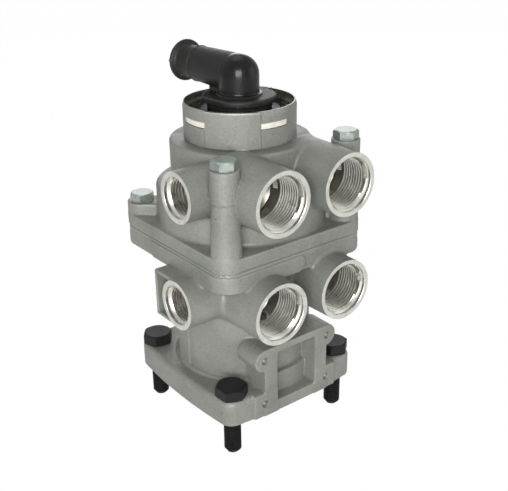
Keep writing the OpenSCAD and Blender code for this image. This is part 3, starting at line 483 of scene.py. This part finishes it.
def elbowField(x, y, z):
    s = elbowMould
    height = z - s["axisHeight"] + s["drop"] * (1 - np.clip(y / s["reach"], 0, 1))
    plate = barField(x, y, z, s["plateRadius"], s["plateLow"], s["plateHigh"], 0.8)
    plate = rounded(plate, -x - s["plateFlat"], 0.6)
    hub = barField(x, y, z, s["hubRadius"], s["hubLow"], s["plateHigh"] - 1, 0.9)
    foot = barField(x, y, z, s["footRadius"], s["plateHigh"] - 2, s["footHigh"], 0.45)
    stem = barField(x, y, z, s["stemRadius"], s["stemLow"] + 1, s["hubLow"] + 1)
    barb = np.maximum(np.hypot(x, y) - s["stemRadius"] - (z - s["stemLow"]),
                      np.abs(z - s["stemLow"] - 0.8) - 0.8)
    riser = barField(x, y, z, s["riserRadius"], s["plateHigh"] - 2, s["axisHeight"] - s["drop"])
    dome = np.sqrt(x * x + y * y + height * height) - s["riserRadius"]
    share, away = np.clip(y / s["neckPlace"], 0, 1), np.hypot(x, height)
    tube = away - (s["tubeRadius"] + (s["tubeEnd"] - s["tubeRadius"]) * share)
    tube = rounded(tube, np.maximum(-y, y - s["neckPlace"]), 0.25)
    neck = np.maximum(away - s["neckRadius"], np.abs(y - s["reach"] / 2) - s["reach"] / 2)
    bead = rounded(away - s["beadRadius"],
                   np.abs(y - s["reach"] + s["beadWidth"] / 2) - s["beadWidth"] / 2, 0.8)
    block = boxField(x, y, z, (-s["blockHalf"], 0.0, s["plateHigh"] - 1),
                     (s["blockHalf"], s["blockLength"], s["axisHeight"] - s["tubeEnd"] + 1.0), 0.5)
    body = join(join(plate, hub, 0.6), foot, 0.5)
    body = join(body, np.minimum(stem, barb), 0.4)
    body = join(body, riser, 0.5)
    beside, beyond = x + s["beadRadius"], y - s["reach"] + 0.9
    nib = np.sqrt(beside ** 2 + beyond ** 2 + (height - 1.0) ** 2) - s["nibRadius"]
    flash = np.hypot(away - s["tubeEnd"], y - s["neckPlace"] + s["flash"]) - s["flash"]
    pipe = join(join(join(join(neck, bead, 2.4), tube, 0.2), flash, 0.1), nib, 0.2)
    body = join(body, join(np.minimum(dome, riser), pipe, 0.35), 0.1)
    return join(body, block, 0.5)


edgePairs = [(a, b) for a in range(8) for b in range(a + 1, 8) if bin(a ^ b).count("1") == 1]
cornerSteps = np.array([[n >> 2 & 1, n >> 1 & 1, n & 1] for n in range(8)])


def netMesh(name, field, low, high, step):
    # one quad mesh on the zero level of a distance field, in metres
    axes = [np.arange(a, b + step, step) for a, b in zip(low, high)]
    values = field(axes[0][:, None, None], axes[1][None, :, None], axes[2][None, None, :])
    values = np.asarray(values, np.float32)
    inside = values < 0
    cells = np.zeros([n - 1 for n in values.shape], np.uint8)
    for dx, dy, dz in cornerSteps:
        cells += inside[dx:cells.shape[0] + dx, dy:cells.shape[1] + dy, dz:cells.shape[2] + dz]
    active = (cells > 0) & (cells < 8)
    place = np.argwhere(active)
    index = np.full(active.shape, -1, np.int32)
    index[active] = np.arange(len(place))
    corner = [values[tuple((place + s).T)] for s in cornerSteps]
    total, hits = np.zeros((len(place), 3)), np.zeros(len(place))
    for a, b in edgePairs:
        crossed = (corner[a] < 0) != (corner[b] < 0)
        share = np.where(crossed, corner[a] / np.where(crossed, corner[a] - corner[b], 1), 0)
        point = cornerSteps[a] + share[:, None] * (cornerSteps[b] - cornerSteps[a])
        total += np.where(crossed[:, None], point, 0)
        hits += crossed
    points = np.array(low) + step * (place + total / hits[:, None])
    for _ in range(2):  # pull the points onto the exact surface
        here = field(*points.T)
        probe = 0.03
        slope = np.stack([(field(*(points + probe * unit).T) - field(*(points - probe * unit).T))
                          / (2 * probe) for unit in np.eye(3)], 1)
        move = (here / np.maximum((slope ** 2).sum(1), 0.25))[:, None] * slope
        points -= np.clip(move, -0.4 * step, 0.4 * step)
    quads = []
    for axis in range(3):
        u, w = (axis + 1) % 3, (axis + 2) % 3
        first, second = [slice(None)] * 3, [slice(None)] * 3
        first[axis], second[axis] = slice(None, -1), slice(1, None)
        change = inside[tuple(first)] != inside[tuple(second)]
        change[tuple(slice(0, 1) if n == u else slice(None) for n in range(3))] = False
        change[tuple(slice(0, 1) if n == w else slice(None) for n in range(3))] = False
        found = np.argwhere(change)
        alongU, alongW = np.eye(3, dtype=int)[u], np.eye(3, dtype=int)[w]
        ring = [found - alongU - alongW, found - alongW, found, found - alongU]
        quad = np.stack([index[tuple(r.T)] for r in ring], 1)
        outward = inside[tuple(found.T)]
        quads.append(np.where(outward[:, None], quad, quad[:, ::-1]))
    mesh = bpy.data.meshes.new(name)
    mesh.from_pydata((points * mm).tolist(), [], np.concatenate(quads).tolist())
    mesh.update()
    return mesh


def place(name, mesh, *materials):
    piece = bpy.data.objects.new(name, mesh)
    bpy.context.scene.collection.objects.link(piece)
    for material in materials:
        mesh.materials.append(material)
    return piece


# Turned, wound and drilled forms are all swept meshes.
def sweptMesh(name, rings, loop=False):
    # rings holds closed sections of equal count, in millimetres; open sweeps get end faces
    rings = np.asarray(rings, float)
    count, sides = rings.shape[:2]
    side = np.arange(sides)
    following = (side + 1) % sides
    faces = []
    for n in range(count if loop else count - 1):
        a, b = n * sides, (n + 1) % count * sides
        faces += np.stack([a + side, a + following, b + following, b + side], 1).tolist()
    if not loop:
        faces += [side[::-1].tolist(), ((count - 1) * sides + side).tolist()]
    mesh = bpy.data.meshes.new(name)
    mesh.from_pydata((rings.reshape(-1, 3) * mm).tolist(), [], faces)
    mesh.update()
    return mesh


def turnedMesh(name, rows, columns=96):
    # rows are (radius, height) from the bottom to the top, each a number or one per column
    angles = np.arange(columns) * 2 * math.pi / columns
    rings = []
    for radius, height in rows:
        rings.append(np.stack([radius * np.cos(angles), radius * np.sin(angles),
                               np.broadcast_to(height, (columns,))], 1))
    return sweptMesh(name, rings)


def woundMesh(name, profile, turns, rise=None, start=0.0, steps=96, taper=False, loop=False):
    # sweeps a closed (radius, height) profile round Z; rise gives the lift at each share of the way
    profile = np.array(profile, float)
    r, h = profile.T
    if (r * np.roll(h, -1) - np.roll(r, -1) * h).sum() > 0:
        profile = profile[::-1]
    count = max(3, int(round(turns * steps)))
    rings = []
    for n in range(count if loop else count + 1):
        share = n / count
        angle = math.radians(start) + 2 * math.pi * turns * share
        radius = profile[:, 0].copy()
        if taper:  # the profile sinks to its smallest radius at both ends
            full = min(1.0, share * turns / 0.4 + 0.03, (1 - share) * turns / 0.4 + 0.03)
            radius = radius.min() + (radius - radius.min()) * full
        lift = rise(share) if rise else 0.0
        rings.append(np.stack([radius * math.cos(angle), radius * math.sin(angle),
                               profile[:, 1] + lift], 1))
    return sweptMesh(name, rings, loop)


def arcMesh(name, profile, first, last):
    # flat sweep between two angles
    return woundMesh(name, profile, (last - first) / 360, start=first, steps=192)


def threadMesh(name, inner, outer, pitch, low, high):
    # helical ridge between two radii, rooted a little inside the inner one
    root = inner - 0.25
    profile = [(root, -0.47 * pitch), (outer, -0.06 * pitch), (outer, 0.06 * pitch),
               (root, 0.47 * pitch)]
    turns = (high - low) / pitch
    return woundMesh(name, profile, turns, lambda share: low + (high - low) * share,
                     steps=128, taper=True)


def stepRows(steps):
    # (radius, low, high) from the lowest step to the highest
    return [(radius, height) for radius, *ends in steps for height in ends]


def axisMatrix(origin, axis):
    # the mesh's own Z points along the axis
    return (Matrix.Translation(Vector(origin) * mm)
            @ Vector(axis).to_track_quat("Z", "Y").to_matrix().to_4x4())


def cutterObject(mesh, origin=(0, 0, 0), axis=(0, 0, 1)):
    mesh.transform(axisMatrix(origin, axis))
    cutter = bpy.data.objects.new(mesh.name, mesh)
    bpy.context.scene.collection.objects.link(cutter)
    return cutter


def drill(name, radius, low, high, origin=(0, 0, 0), axis=(0, 0, 1), columns=48):
    return cutterObject(turnedMesh(name, [(radius, low), (radius, high)], columns), origin, axis)


def blockCutter(name, low, high):
    corners = [(low[0], low[1]), (high[0], low[1]), (high[0], high[1]), (low[0], high[1])]
    return cutterObject(sweptMesh(name, [[(*c, low[2]) for c in corners],
                                         [(*c, high[2]) for c in corners]]))


def cut(piece, cutters, operation="DIFFERENCE"):
    for cutter in cutters:
        modifier = piece.modifiers.new(cutter.name, "BOOLEAN")
        modifier.operation = operation
        modifier.solver = "MANIFOLD"
        modifier.object = cutter
    bpy.context.view_layer.update()
    graph = bpy.context.evaluated_depsgraph_get()
    finished = bpy.data.meshes.new_from_object(piece.evaluated_get(graph))
    piece.modifiers.clear()
    old = piece.data
    piece.data = finished
    bpy.data.meshes.remove(old)
    for cutter in cutters:
        data = cutter.data
        bpy.data.objects.remove(cutter)
        bpy.data.meshes.remove(data)


largePort = {"face": 12.0, "major": 11.8, "minor": 10.95, "depth": 18.5, "rim": 14.0, "drill": 9.4,
             "pitch": 1.5, "counterbore": 1.6, "runout": 1.2, "cleared": 17.0}
smallPort = {"face": 8.9, "major": 8.7, "minor": 7.9, "depth": 13.5, "rim": 11.1, "drill": 6.6,
             "pitch": 1.5, "counterbore": 1.6, "runout": 1.2, "cleared": 13.4}


def threadedBore(name, below, above, p, low, high, columns=128):
    # one closed skin: rows below, a helical thread that ends at high, rows above
    shape = ((0.0, 0), (0.3, 0), (0.6, 1), (0.7, 1))  # share of the pitch, 1 in the groove
    turns = int((high - low) / p["pitch"]) - 1
    last, start = turns * columns, high - (turns + 1) * p["pitch"]
    points, faces, wind = [], [], {}

    def vertex(n, radius, height):
        angle = 2 * math.pi * n / columns
        points.append((radius * math.cos(angle) * mm, radius * math.sin(angle) * mm, height * mm))
        return len(points) - 1

    for n in range(last + columns + 1):
        fade = min(1.0, 0.03 + n / (0.3 * columns), 0.03 + (last - n) / (0.3 * columns))
        for j, (share, groove) in enumerate(shape if n <= last else shape[:1]):
            radius = p["minor"] + (p["major"] - p["minor"]) * groove * fade
            wind[n, j] = vertex(n, radius, start + p["pitch"] * (n / columns + share))
    for n in range(last + 1):
        wind[n, len(shape)] = wind[n + columns, 0]
    for n in range(last):
        for j in range(len(shape)):
            faces.append((wind[n, j], wind[n + 1, j], wind[n + 1, j + 1], wind[n, j + 1]))
    lower, upper = [[[vertex(n, *spot) for n in range(columns)] for spot in rows]
                    for rows in (below, above)]
    foot, crown = lower[-1], upper[0]
    for n in range(columns):
        m = (n + 1) % columns
        for a, b in list(zip(lower, lower[1:])) + list(zip(upper, upper[1:])):
            faces.append((a[n], a[m], b[m], b[n]))
        faces.append((foot[n], foot[m], wind[n + 1, 0], wind[n, 0]))
        faces.append((wind[last + n, 0], wind[last + n + 1, 0], crown[m], crown[n]))
    faces.append([foot[0]] + [wind[0, j] for j in range(len(shape) + 1)])
    faces.append([wind[last, 0], crown[0]] + [wind[last, j] for j in range(len(shape), 0, -1)])
    faces += [lower[0][::-1], upper[-1]]
    mesh = bpy.data.meshes.new(name)
    mesh.from_pydata(points, [], faces)
    mesh.update()
    return mesh


def portCutter(name, p, origin, axis):
    shelf = -p["depth"] + p["runout"]
    below = [(p["drill"] - 4.4, -p["depth"] - 6), (p["drill"] - 1.6, -p["depth"] - 3),
             (p["drill"], -p["depth"] - 1.5), (p["drill"], shelf - 1.0)]
    above = [(p["face"] - 0.2, -p["counterbore"]), (p["face"], -p["counterbore"] + 0.1),
             (p["face"], -0.2), (p["face"] + 0.2, 0.0), (p["cleared"], 0.0), (p["cleared"], 4.0)]
    bore = threadedBore(name, below, above, p, shelf, -p["counterbore"] - 0.5)
    return cutterObject(bore, origin, axis)


def portIndex(centres, normals, ports):
    # 1 on the machined mouths and thread crests, 2 on the bores behind them, painted in shade, 3 in
    # the grooves, which take a darker finish
    index = np.zeros(len(centres), np.int32)
    for p, origin, outward in ports:
        outward = np.array(outward)
        local = centres - np.array(origin)
        along = local @ outward
        away = np.linalg.norm(local - along[:, None] * outward, axis=1)
        inside = (away < p["face"] + 0.2) & (along < 0.01)
        index[inside & (along > -p["depth"] - 6.2)] = 2
        index[inside & (along > -p["depth"] + p["runout"] + 0.9)] = 1
        groove = (away > p["minor"] + 0.1) & (along < -p["counterbore"] - 0.9)
        index[inside & groove & (along > -p["depth"] + p["runout"])] = 3
        mouth = (np.abs(along) < 0.02) & (normals @ outward > 0.9)
        index[mouth & (away < p["rim"] + 0.4)] = 1
    return index


def faceArrays(mesh):
    count = len(mesh.polygons)
    centres, normals = np.zeros(count * 3), np.zeros(count * 3)
    mesh.polygons.foreach_get("center", centres)
    mesh.polygons.foreach_get("normal", normals)
    return centres.reshape(-1, 3) / mm, normals.reshape(-1, 3)


def finish(piece, index=None, sharpAngle=32.0):
    # smooth faces with sharp edges; index is a material number for each face
    mesh = piece.data
    if index is not None:
        mesh.polygons.foreach_set("material_index", np.asarray(index, np.int32))
    mesh.polygons.foreach_set("use_smooth", np.ones(len(mesh.polygons), bool))
    mesh.set_sharp_from_angle(angle=math.radians(sharpAngle))
    mesh.update()


def tie(piece, body, slot, *replaced):
    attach(piece, body)
    if replaced:
        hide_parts(*replaced)


def housingPorts(s):
    # (sizes, middle of the mouth, way out) of each port
    large = [(largePort, (side * s["portPlace"], -s["portReach"], s["portHeight"]), (0, -1, 0))
             for side in (-1, 1)]
    return large + [(smallPort, (-s["smallReach"], s["smallPlace"], s["smallHeight"]), (-1, 0, 0))]


def portCutters(ports):
    return [portCutter(f"port{n}", *port) for n, port in enumerate(ports)]


def passageCutters(passages):
    return [drill(name, *sizes, columns=32) for name, *sizes in passages]


def level(centres, normals, height):
    # the faces that lie flat at one height
    return (np.abs(normals[:, 2]) > 0.98) & (np.abs(centres[:, 2] - height) < 0.05)


def makeLowerHousing():
    s = lowerCast
    piece = place("lowerHousing", netMesh("lowerHousing", lowerField, *s["net"]), castAluminium,
                  machinedAluminium, paintedShadeAluminium, threadAluminium)
    ports = housingPorts(s)
    cutters = [cutterObject(turnedMesh("valveBore", stepRows(s["bore"])))]
    cutters += portCutters(ports) + passageCutters(s["passages"])
    rim = s["dimpleRadius"]
    dimple = [(0.2, -0.15), (0.7, -0.4), (1.1, -1.0), (1.5, -1.0), (rim, 0.0), (rim + 0.2, 0.4)]
    for sx in (-1, 1):
        for height in (s["earHeight"], s["windowLow"] + 0.7):
            spot = (sx * s["earPlace"], -s["bracketFront"], height)
            cutters.append(cutterObject(turnedMesh("dimple", dimple, 32), spot, (0, -1, 0)))
        for sy in (-1, 1):
            for name, side in (("mountHole", s["mountPlace"]), ("threadHole", s["boltPlace"])):
                cutters.append(drill(name, *s[name], (sx * side, sy * side, 0)))
    cut(piece, cutters)
    centres, normals = faceArrays(piece.data)
    index = portIndex(centres, normals, ports)
    for height in (0.0, s["jointHeight"]):
        index[level(centres, normals, height)] = 1
    index[np.hypot(centres[:, 0], centres[:, 1]) < 23.1] = 1  # all of the valve bore
    finish(piece, index)
    tie(piece, "root", "cast_aluminium", "lower_housing")
    print("lower housing:", len(piece.data.polygons), "faces")


def makeUpperHousing():
    s = upperCast
    piece = place("upperHousing", netMesh("upperHousing", upperField, *s["net"]), castAluminium,
                  machinedAluminium, paintedShadeAluminium, threadAluminium, collarAluminium)
    ports = housingPorts(s)
    rim, step = s["rimHeight"], s["rimHeight"] - s["rimStep"]
    bore = s["bore"] + [(22.6, 122.6, step), (s["rimBore"], step, rim + 5)]
    cutters = [cutterObject(turnedMesh("relayBore", stepRows(bore), 192)),
               blockCutter("rimFace", (-30, -30, rim), (30, 30, rim + 6))]
    cutters += portCutters(ports)
    edge, out = s["collarRadius"], s["collarRadius"] + 3
    chamfer = [(edge, s["chamferLow"]), (edge - s["chamferDepth"], rim + 0.2),
               (edge - s["chamferDepth"], rim + 3), (out, rim + 3), (out, s["chamferLow"])]
    slot = [(20.0, s["slotLow"]), (20.0, s["slotHigh"]), (out, s["slotHigh"]), (out, s["slotLow"])]
    wound = [("slot", slot, first, last) for first, last in s["slots"]]
    for middle in (s["panelPlace"] + 90, s["panelPlace"] + 270):
        half = 90 - s["panelWidth"] / 2
        wound.append(("chamfer", chamfer, middle - half, middle + half))
    for name, profile, first, last in wound:
        cutters.append(cutterObject(arcMesh(name, profile, first, last)))
    cutters += passageCutters(s["passages"])
    for sx in (-1, 1):
        for sy in (-1, 1):
            spot = (sx * s["boltPlace"], sy * s["boltPlace"], 0)
            cutters.append(drill("boltHole", *s["boltHole"], spot))
        cutters.append(drill("headRoom", s["headClear"], s["shortHeight"], s["ledgeHeight"],
                             (sx * s["boltPlace"], s["boltPlace"], 0)))
    cut(piece, cutters)
    centres, normals = faceArrays(piece.data)
    index = portIndex(centres, normals, ports)
    index[level(centres, normals, s["jointHeight"])] = 1
    away, height = np.hypot(centres[:, 0], centres[:, 1]), centres[:, 2]
    index[(away < 33.1) & (height < 96.0)] = 1  # relay chamber
    index[(away < 18.2) & (height < 122.7)] = 1  # valve chamber
    index[(away < s["rimBore"] + 0.1) & (height > 122.55)] = 2  # inside of the collar, painted in shade
    index[(height > rim - 0.45) & (away > s["rimBore"] - 0.1) & (away < 26)] = 4  # collar's rim
    finish(piece, index)
    tie(piece, "root", "cast_aluminium", "upper_housing")
    print("upper housing:", len(piece.data.polygons), "faces")


makeLowerHousing()
makeUpperHousing()

housingBolt = {"thread": 6.0, "pitch": 1.0, "flats": 10.0, "head": 4.0, "bottom": 68.6,
               "threadTop": 78.0, "shank": 2.95}
mountingBolt = {"thread": 8.0, "pitch": 1.25, "flats": 13.0, "head": 5.3, "bottom": -17.6,
                "threadTop": -0.2, "shank": 3.6, "seat": 12.4,
                "turns": [(-1, -1, 4.0), (-1, 1, 21.0), (1, 1, 50.0), (1, -1, 10.0)]}
boltHead = {"crown": 0.93, "topSlope": 28, "underSlope": 24}


def boltMesh(name, b, seat, turn):
    # one bolt on the Z axis, head up, turned by an angle
    columns = 72
    angles = np.degrees(np.arange(columns) * 2 * math.pi / columns)
    half = b["flats"] / 2
    across = half / np.cos(np.radians((angles + 30.0) % 60.0 - 30.0))
    crown = half * boltHead["crown"]
    outer, core, tip = b["thread"] / 2, b["thread"] / 2 - 0.57 * b["pitch"], b["thread"] / 8
    top = seat + b["head"]
    shoulder = top - (across - crown) * math.tan(math.radians(boltHead["topSlope"]))
    under = seat + (across - half) * math.tan(math.radians(boltHead["underSlope"])) * 0.7
    rows = [(outer - tip - 0.3, b["bottom"]), (core, b["bottom"] + tip), (core, b["threadTop"]),
            (b["shank"], b["threadTop"] + 0.3), (b["shank"], seat - 0.2), (b["shank"] + 0.35, seat),
            (half * 0.96, seat), (across, under + 0.05), (across, shoulder), (crown, top),
            (crown * 0.8, top - 0.02), (crown * 0.4, top - 0.04)]
    piece = place(name, turnedMesh(name, rows, columns))
    ridge = threadMesh(name + "Thread", core, outer, b["pitch"], b["bottom"] + tip * 0.8,
                       b["threadTop"])
    cut(piece, [cutterObject(ridge)], "UNION")
    mesh = piece.data
    bpy.data.objects.remove(piece)
    mesh.transform(Matrix.Rotation(math.radians(turn), 4, "Z"))
    return mesh


def boltSet(name, material, bolts):
    # bolts are (mesh, x, y); all of them make one piece
    grid = bmesh.new()
    for mesh, x, y in bolts:
        mesh.transform(Matrix.Translation((x * mm, y * mm, 0)))
        grid.from_mesh(mesh)
        bpy.data.meshes.remove(mesh)
    mesh = bpy.data.meshes.new(name)
    grid.to_mesh(mesh)
    grid.free()
    piece = place(name, mesh, material)
    finish(piece, sharpAngle=24.0)
    return piece


def makeBolts():
    at = upperCast["boltPlace"]
    sets = (("longHousingBolts", "long_housing_bolts", upperCast["towerHeight"], -1, (5.0, 49.0)),
            ("shortHousingBolts", "short_housing_bolts", upperCast["shortHeight"], 1, (21.0, 38.0)))
    for name, node, seat, side, turns in sets:
        bolts = [(boltMesh(name, housingBolt, seat, turn), x * at, side * at)
                 for x, turn in zip((-1, 1), turns)]
        tie(boltSet(name, zincPlate, bolts), "root", "zinc_steel", node)
    b, at = mountingBolt, lowerCast["mountPlace"]
    bolts = [(boltMesh("mountingBolt", b, b["seat"], turn), x * at, y * at)
             for x, y, turn in b["turns"]]
    tie(boltSet("mountingBolts", blackSteel, bolts), "root", "black_steel", "mounting_bolts")
    print("bolts made")


makeBolts()

exhaustCup = {"radius": 22.3, "low": 122.6, "top": 132.8, "step": 18.2, "bore": 9.1,
              "waist": (128.9, 131.6), "waistRadius": 20.1, "seal": 125.0, "sealHalf": 1.05,
              "sealDepth": 1.9}
snapRing = {"inner": 20.3, "outer": 22.5, "split": (48.8, 401.2),
            "lugs": [(-16.0, 16.0), (74.0, 106.0), (145.0, 195.0), (254.2, 280.4)]}


def makeElbow():
    s = elbowMould
    mesh = netMesh("exhaustElbow", elbowField, (-18, -18, 119), (18, 40, 159), 0.4)
    piece = place("exhaustElbow", mesh, satinPlastic, glossPlastic)
    upright = drill("upright", s["bore"], s["stemLow"] - 1, s["axisHeight"])
    knee = bpy.data.meshes.new("knee")
    grid = bmesh.new()
    bmesh.ops.create_uvsphere(grid, u_segments=32, v_segments=16, radius=s["bore"] * mm)
    bmesh.ops.translate(grid, vec=(0, 0, s["axisHeight"] * mm), verts=grid.verts)
    grid.to_mesh(knee)
    grid.free()
    pipe = drill("pipe", s["bore"], 0.0, s["reach"] + 1, (0, 0, s["axisHeight"]), (0, 1, 0))
    cut(piece, [upright, cutterObject(knee), pipe])
    centres, _ = faceArrays(piece.data)
    away = np.hypot(centres[:, 0], centres[:, 1])
    gloss = (away < s["riserRadius"] + 1.3) & (centres[:, 1] < 3.0)  # the riser and its dome
    gloss &= centres[:, 2] > s["plateHigh"] - 0.4
    piece.data.transform(Matrix.Rotation(math.radians(s["turn"]), 4, "Z"))
    finish(piece, gloss, 40.0)
    tie(piece, "exhaust_elbow", "black_plastic", "exhaust_elbow")
    print("elbow:", len(piece.data.polygons), "faces")


def makeCup():
    c = exhaustCup
    low, high = c["waist"]
    outer, deep = c["radius"], c["radius"] - c["sealDepth"]
    under, over = c["seal"] - c["sealHalf"], c["seal"] + c["sealHalf"]
    profile = [(c["bore"], c["low"]), (outer - 0.5, c["low"]), (outer, c["low"] + 0.5),
               (outer, under), (deep, under), (deep, over), (outer, over), (outer, low),
               (c["waistRadius"], low), (c["waistRadius"], high), (outer - 0.1, high),
               (outer - 0.5, high + 0.3), (c["step"] + 0.6, high + 0.3), (c["step"], high + 0.6),
               (c["step"] - 0.4, c["top"]), (c["bore"] + 0.6, c["top"]),
               (c["bore"], c["top"] - 0.6)]
    mesh = woundMesh("exhaustCup", profile, 1.0, steps=128, loop=True)
    piece = place("exhaustCup", mesh, blackPlastic)
    finish(piece)
    tie(piece, "root", "black_plastic", "exhaust_cup")


def makeSnapRing():
    r, u = snapRing, upperCast
    low, high = u["slotLow"] + 0.1, u["slotHigh"] - 0.1
    band = [(r["inner"], low + 0.15), (r["inner"] + 0.15, low), (r["outer"], low),
            (r["outer"], high), (r["inner"] + 0.15, high), (r["inner"], high - 0.15)]
    near, far = r["outer"] - 0.6, u["collarRadius"]
    tab = [(near, low + 0.01), (far - 0.5, low + 0.01), (far - 0.3, low + 0.25),
           (far - 0.3, high - 0.25), (far - 0.5, high - 0.01), (near, high - 0.01)]
    ring = place("cupSnapRing", arcMesh("cupSnapRing", band, *r["split"]), whiteNylon)
    lugs = [cutterObject(arcMesh("lug", tab, *ends)) for ends in r["lugs"]]
    cut(ring, lugs, "UNION")
    finish(ring)
    tie(ring, "root", "white_nylon", "cup_snap_ring")


makeElbow()
makeCup()
makeSnapRing()

# The springs and the dust boot are wound meshes.
springs = [
    # name, body, joint, then coil radius, wire radius, low, high, turns, anchor and keep
    ("graduating_spring", "plunger", "plunger_press",
     12.0, 1.5, 12.05, 33.75, 4.0, 12.05, 0.793),
    ("primary_return_spring", "root", "primary_piston_slide",
     14.0, 0.8, 42.5, 52.3, 3.0, 52.3, 0.541),
    ("primary_valve_spring", "root", "primary_valve_lift",
     9.6, 0.6, 58.55, 65.3, 2.0, 65.3, 0.467),
    ("relay_return_spring", "root", "relay_piston_slide",
     20.0, 1.0, 86.3, 95.8, 3.0, 95.8, 0.621),
    ("secondary_valve_spring", "root", "secondary_valve_lift",
     9.6, 0.6, 105.55, 110.7, 2.0, 110.7, 0.476),
]
springEnd = {"turns": 0.7, "lift": 2.05}  # flat turns at each end, and their lift in wire radii
dustBoot = {"top": 1.0, "bottom": -8.5, "inner": 10.6, "outer": 13.0, "folds": 3, "wall": 0.8,
            "collar": 19.7, "nose": 8.2, "keep": 0.13}


def makeSpring(node, body, joint, coil, wire, low, high, turns, anchor, keep):
    angles = np.arange(12) * 2 * math.pi / 12
    profile = [(coil + wire * math.cos(a), wire * math.sin(a)) for a in angles]
    first, last = low + wire, high - wire
    closed = springEnd["turns"] / turns  # share of the wire that lies flat at each end

    def rise(share):
        # flat end coils, an even pitch between them
        flat = springEnd["turns"] * springEnd["lift"] * wire
        if share < closed:
            return first + flat * share / closed
        if share > 1 - closed:
            return last - flat * (1 - share) / closed
        return first + flat + (last - first - 2 * flat) * (share - closed) / (1 - 2 * closed)

    name = "".join(part if n == 0 else part.title() for n, part in enumerate(node.split("_")))
    piece = place(name, woundMesh(name, profile, turns, rise, steps=40), springSteel)
    finish(piece, sharpAngle=50.0)
    tie(piece, body, "spring_steel", node)
    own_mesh(piece)


def makeBoot():
    b = dustBoot
    count = b["folds"] * 12
    outside, inside = [], []
    for n in range(count + 1):
        share = n / count
        height = b["top"] + (b["bottom"] - b["top"]) * share
        swell = 0.5 - 0.5 * math.cos(2 * math.pi * b["folds"] * share)
        radius = b["inner"] + (b["outer"] - b["inner"]) * swell ** 0.8
        outside.append((radius, height))
        inside.append((radius - b["wall"], height))
    lip = [(b["inner"] - 1.0, b["top"] + 0.9), (b["collar"] - 0.4, b["top"] + 0.9),
           (b["collar"], b["top"] + 0.5), (b["collar"], b["top"] - 0.2),
           (b["inner"] + 0.6, b["top"] - 0.3)]
    nose = [(b["inner"] - 0.3, b["bottom"] - 0.7), (b["nose"] + 0.4, b["bottom"] - 0.8),
            (b["nose"], b["bottom"] - 0.4), (b["nose"], b["bottom"] + 0.4)]
    profile = lip + outside[1:] + nose + inside[::-1]
    piece = place("dustBoot", woundMesh("dustBoot", profile, 1.0, steps=96, loop=True), blackRubber)
    finish(piece, sharpAngle=45.0)
    tie(piece, "root", "black_rubber", "dust_boot")
    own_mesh(piece)


for spring in springs:
    makeSpring(*spring)
makeBoot()
print("springs and boot made")

# finishes of the CAD nodes that stay
nodeFinish = {
    "housing_seal": blackRubber, "plunger_guide": blackPlastic, "plunger_guide_ring": ringSteel,
    "plunger": yellowZinc, "primary_piston": turnedAluminium, "primary_piston_seal": blackRubber,
    "primary_valve": valveRubber, "primary_valve_guide": brass,
    "primary_guide_seal": blackRubber, "primary_guide_ring": ringSteel,
    "relay_piston": turnedAluminium, "relay_piston_seal": blackRubber,
    "secondary_valve": valveRubber, "secondary_valve_guide": brass,
    "secondary_guide_seal": blackRubber, "secondary_guide_ring": ringSteel,
    "exhaust_cup_seal": blackRubber,
}
for name, material in nodeFinish.items():
    mesh = nodes[name].data
    if not len(mesh.materials):
        mesh.materials.append(material)
    for n in range(len(mesh.materials)):
        mesh.materials[n] = material
print("CAD nodes finished")

studio = {
    "floorHeight": -17.7,
    "worldStrength": 0.2,
    "mirrorShare": 0.4,
    "floorGlow": 0.99,
    # name, place in metres, power in watts, width in metres
    "lamps": [("key", (-0.62, -0.68, 0.36), 9.8, 0.55), ("fill", (0.65, -0.6, 0.3), 0.8, 0.6),
              ("top", (0.1, 0.25, 0.9), 0.8, 0.5), ("back", (0.6, 0.8, 0.32), 2.0, 0.6)],
}


def makeLamp(name, origin, power, size):
    data = bpy.data.lights.new(name, "AREA")
    data.energy = power
    data.shape = "SQUARE"
    data.size = size
    lamp = bpy.data.objects.new(name, data)
    bpy.context.scene.collection.objects.link(lamp)
    lamp.location = origin
    aim = Vector((0, 0, 0.06)) - Vector(origin)
    lamp.rotation_euler = aim.to_track_quat("-Z", "Y").to_euler()


def seenDirectly(tree, mirror):
    # one for rays that end in the picture, less for those that end in a mirror or glass
    path = tree.nodes.new("ShaderNodeLightPath")
    total = path.outputs["Is Camera Ray"]
    for other in ("Is Glossy Ray", "Is Transmission Ray"):
        total = reckon(tree, "MAXIMUM", total,
                       reckon(tree, "MULTIPLY", path.outputs[other], mirror))
    return total


def makeStudio(s):
    world = bpy.data.worlds.new("studio")
    bpy.context.scene.world = world
    world.use_nodes = True
    tree = world.node_tree
    background = tree.nodes["Background"]
    background.inputs["Color"].default_value = (1, 1, 1, 1)
    strength = tree.nodes.new("ShaderNodeMapRange")
    strength.inputs["To Min"].default_value = s["worldStrength"]
    strength.inputs["To Max"].default_value = 1.0
    tree.links.new(seenDirectly(tree, s["mirrorShare"]), strength.inputs["Value"])
    tree.links.new(strength.outputs["Result"], background.inputs["Strength"])
    material, tree, shader = newMaterial("floorPaint")
    shader.inputs["Base Color"].default_value = (0.9, 0.9, 0.9, 1)
    shader.inputs["Roughness"].default_value = 0.9
    glow = tree.nodes.new("ShaderNodeEmission")
    blend = tree.nodes.new("ShaderNodeMixShader")
    share = reckon(tree, "MULTIPLY", seenDirectly(tree, s["mirrorShare"]), s["floorGlow"])
    for n, value in enumerate((share, shader.outputs[0], glow.outputs[0])):
        tree.links.new(value, blend.inputs[n])
    tree.links.new(blend.outputs[0], tree.nodes["Material Output"].inputs["Surface"])
    mesh = bpy.data.meshes.new("floor")
    half, height = 6.0, s["floorHeight"] * mm
    mesh.from_pydata([(-half, -half, height), (half, -half, height), (half, half, height),
                      (-half, half, height)], [], [(0, 1, 2, 3)])
    floor = place("floor", mesh, material)
    for lamp in s["lamps"]:
        makeLamp(*lamp)


makeStudio(studio)
print("studio made")

bpy.context.scene.view_settings.view_transform = "Standard"
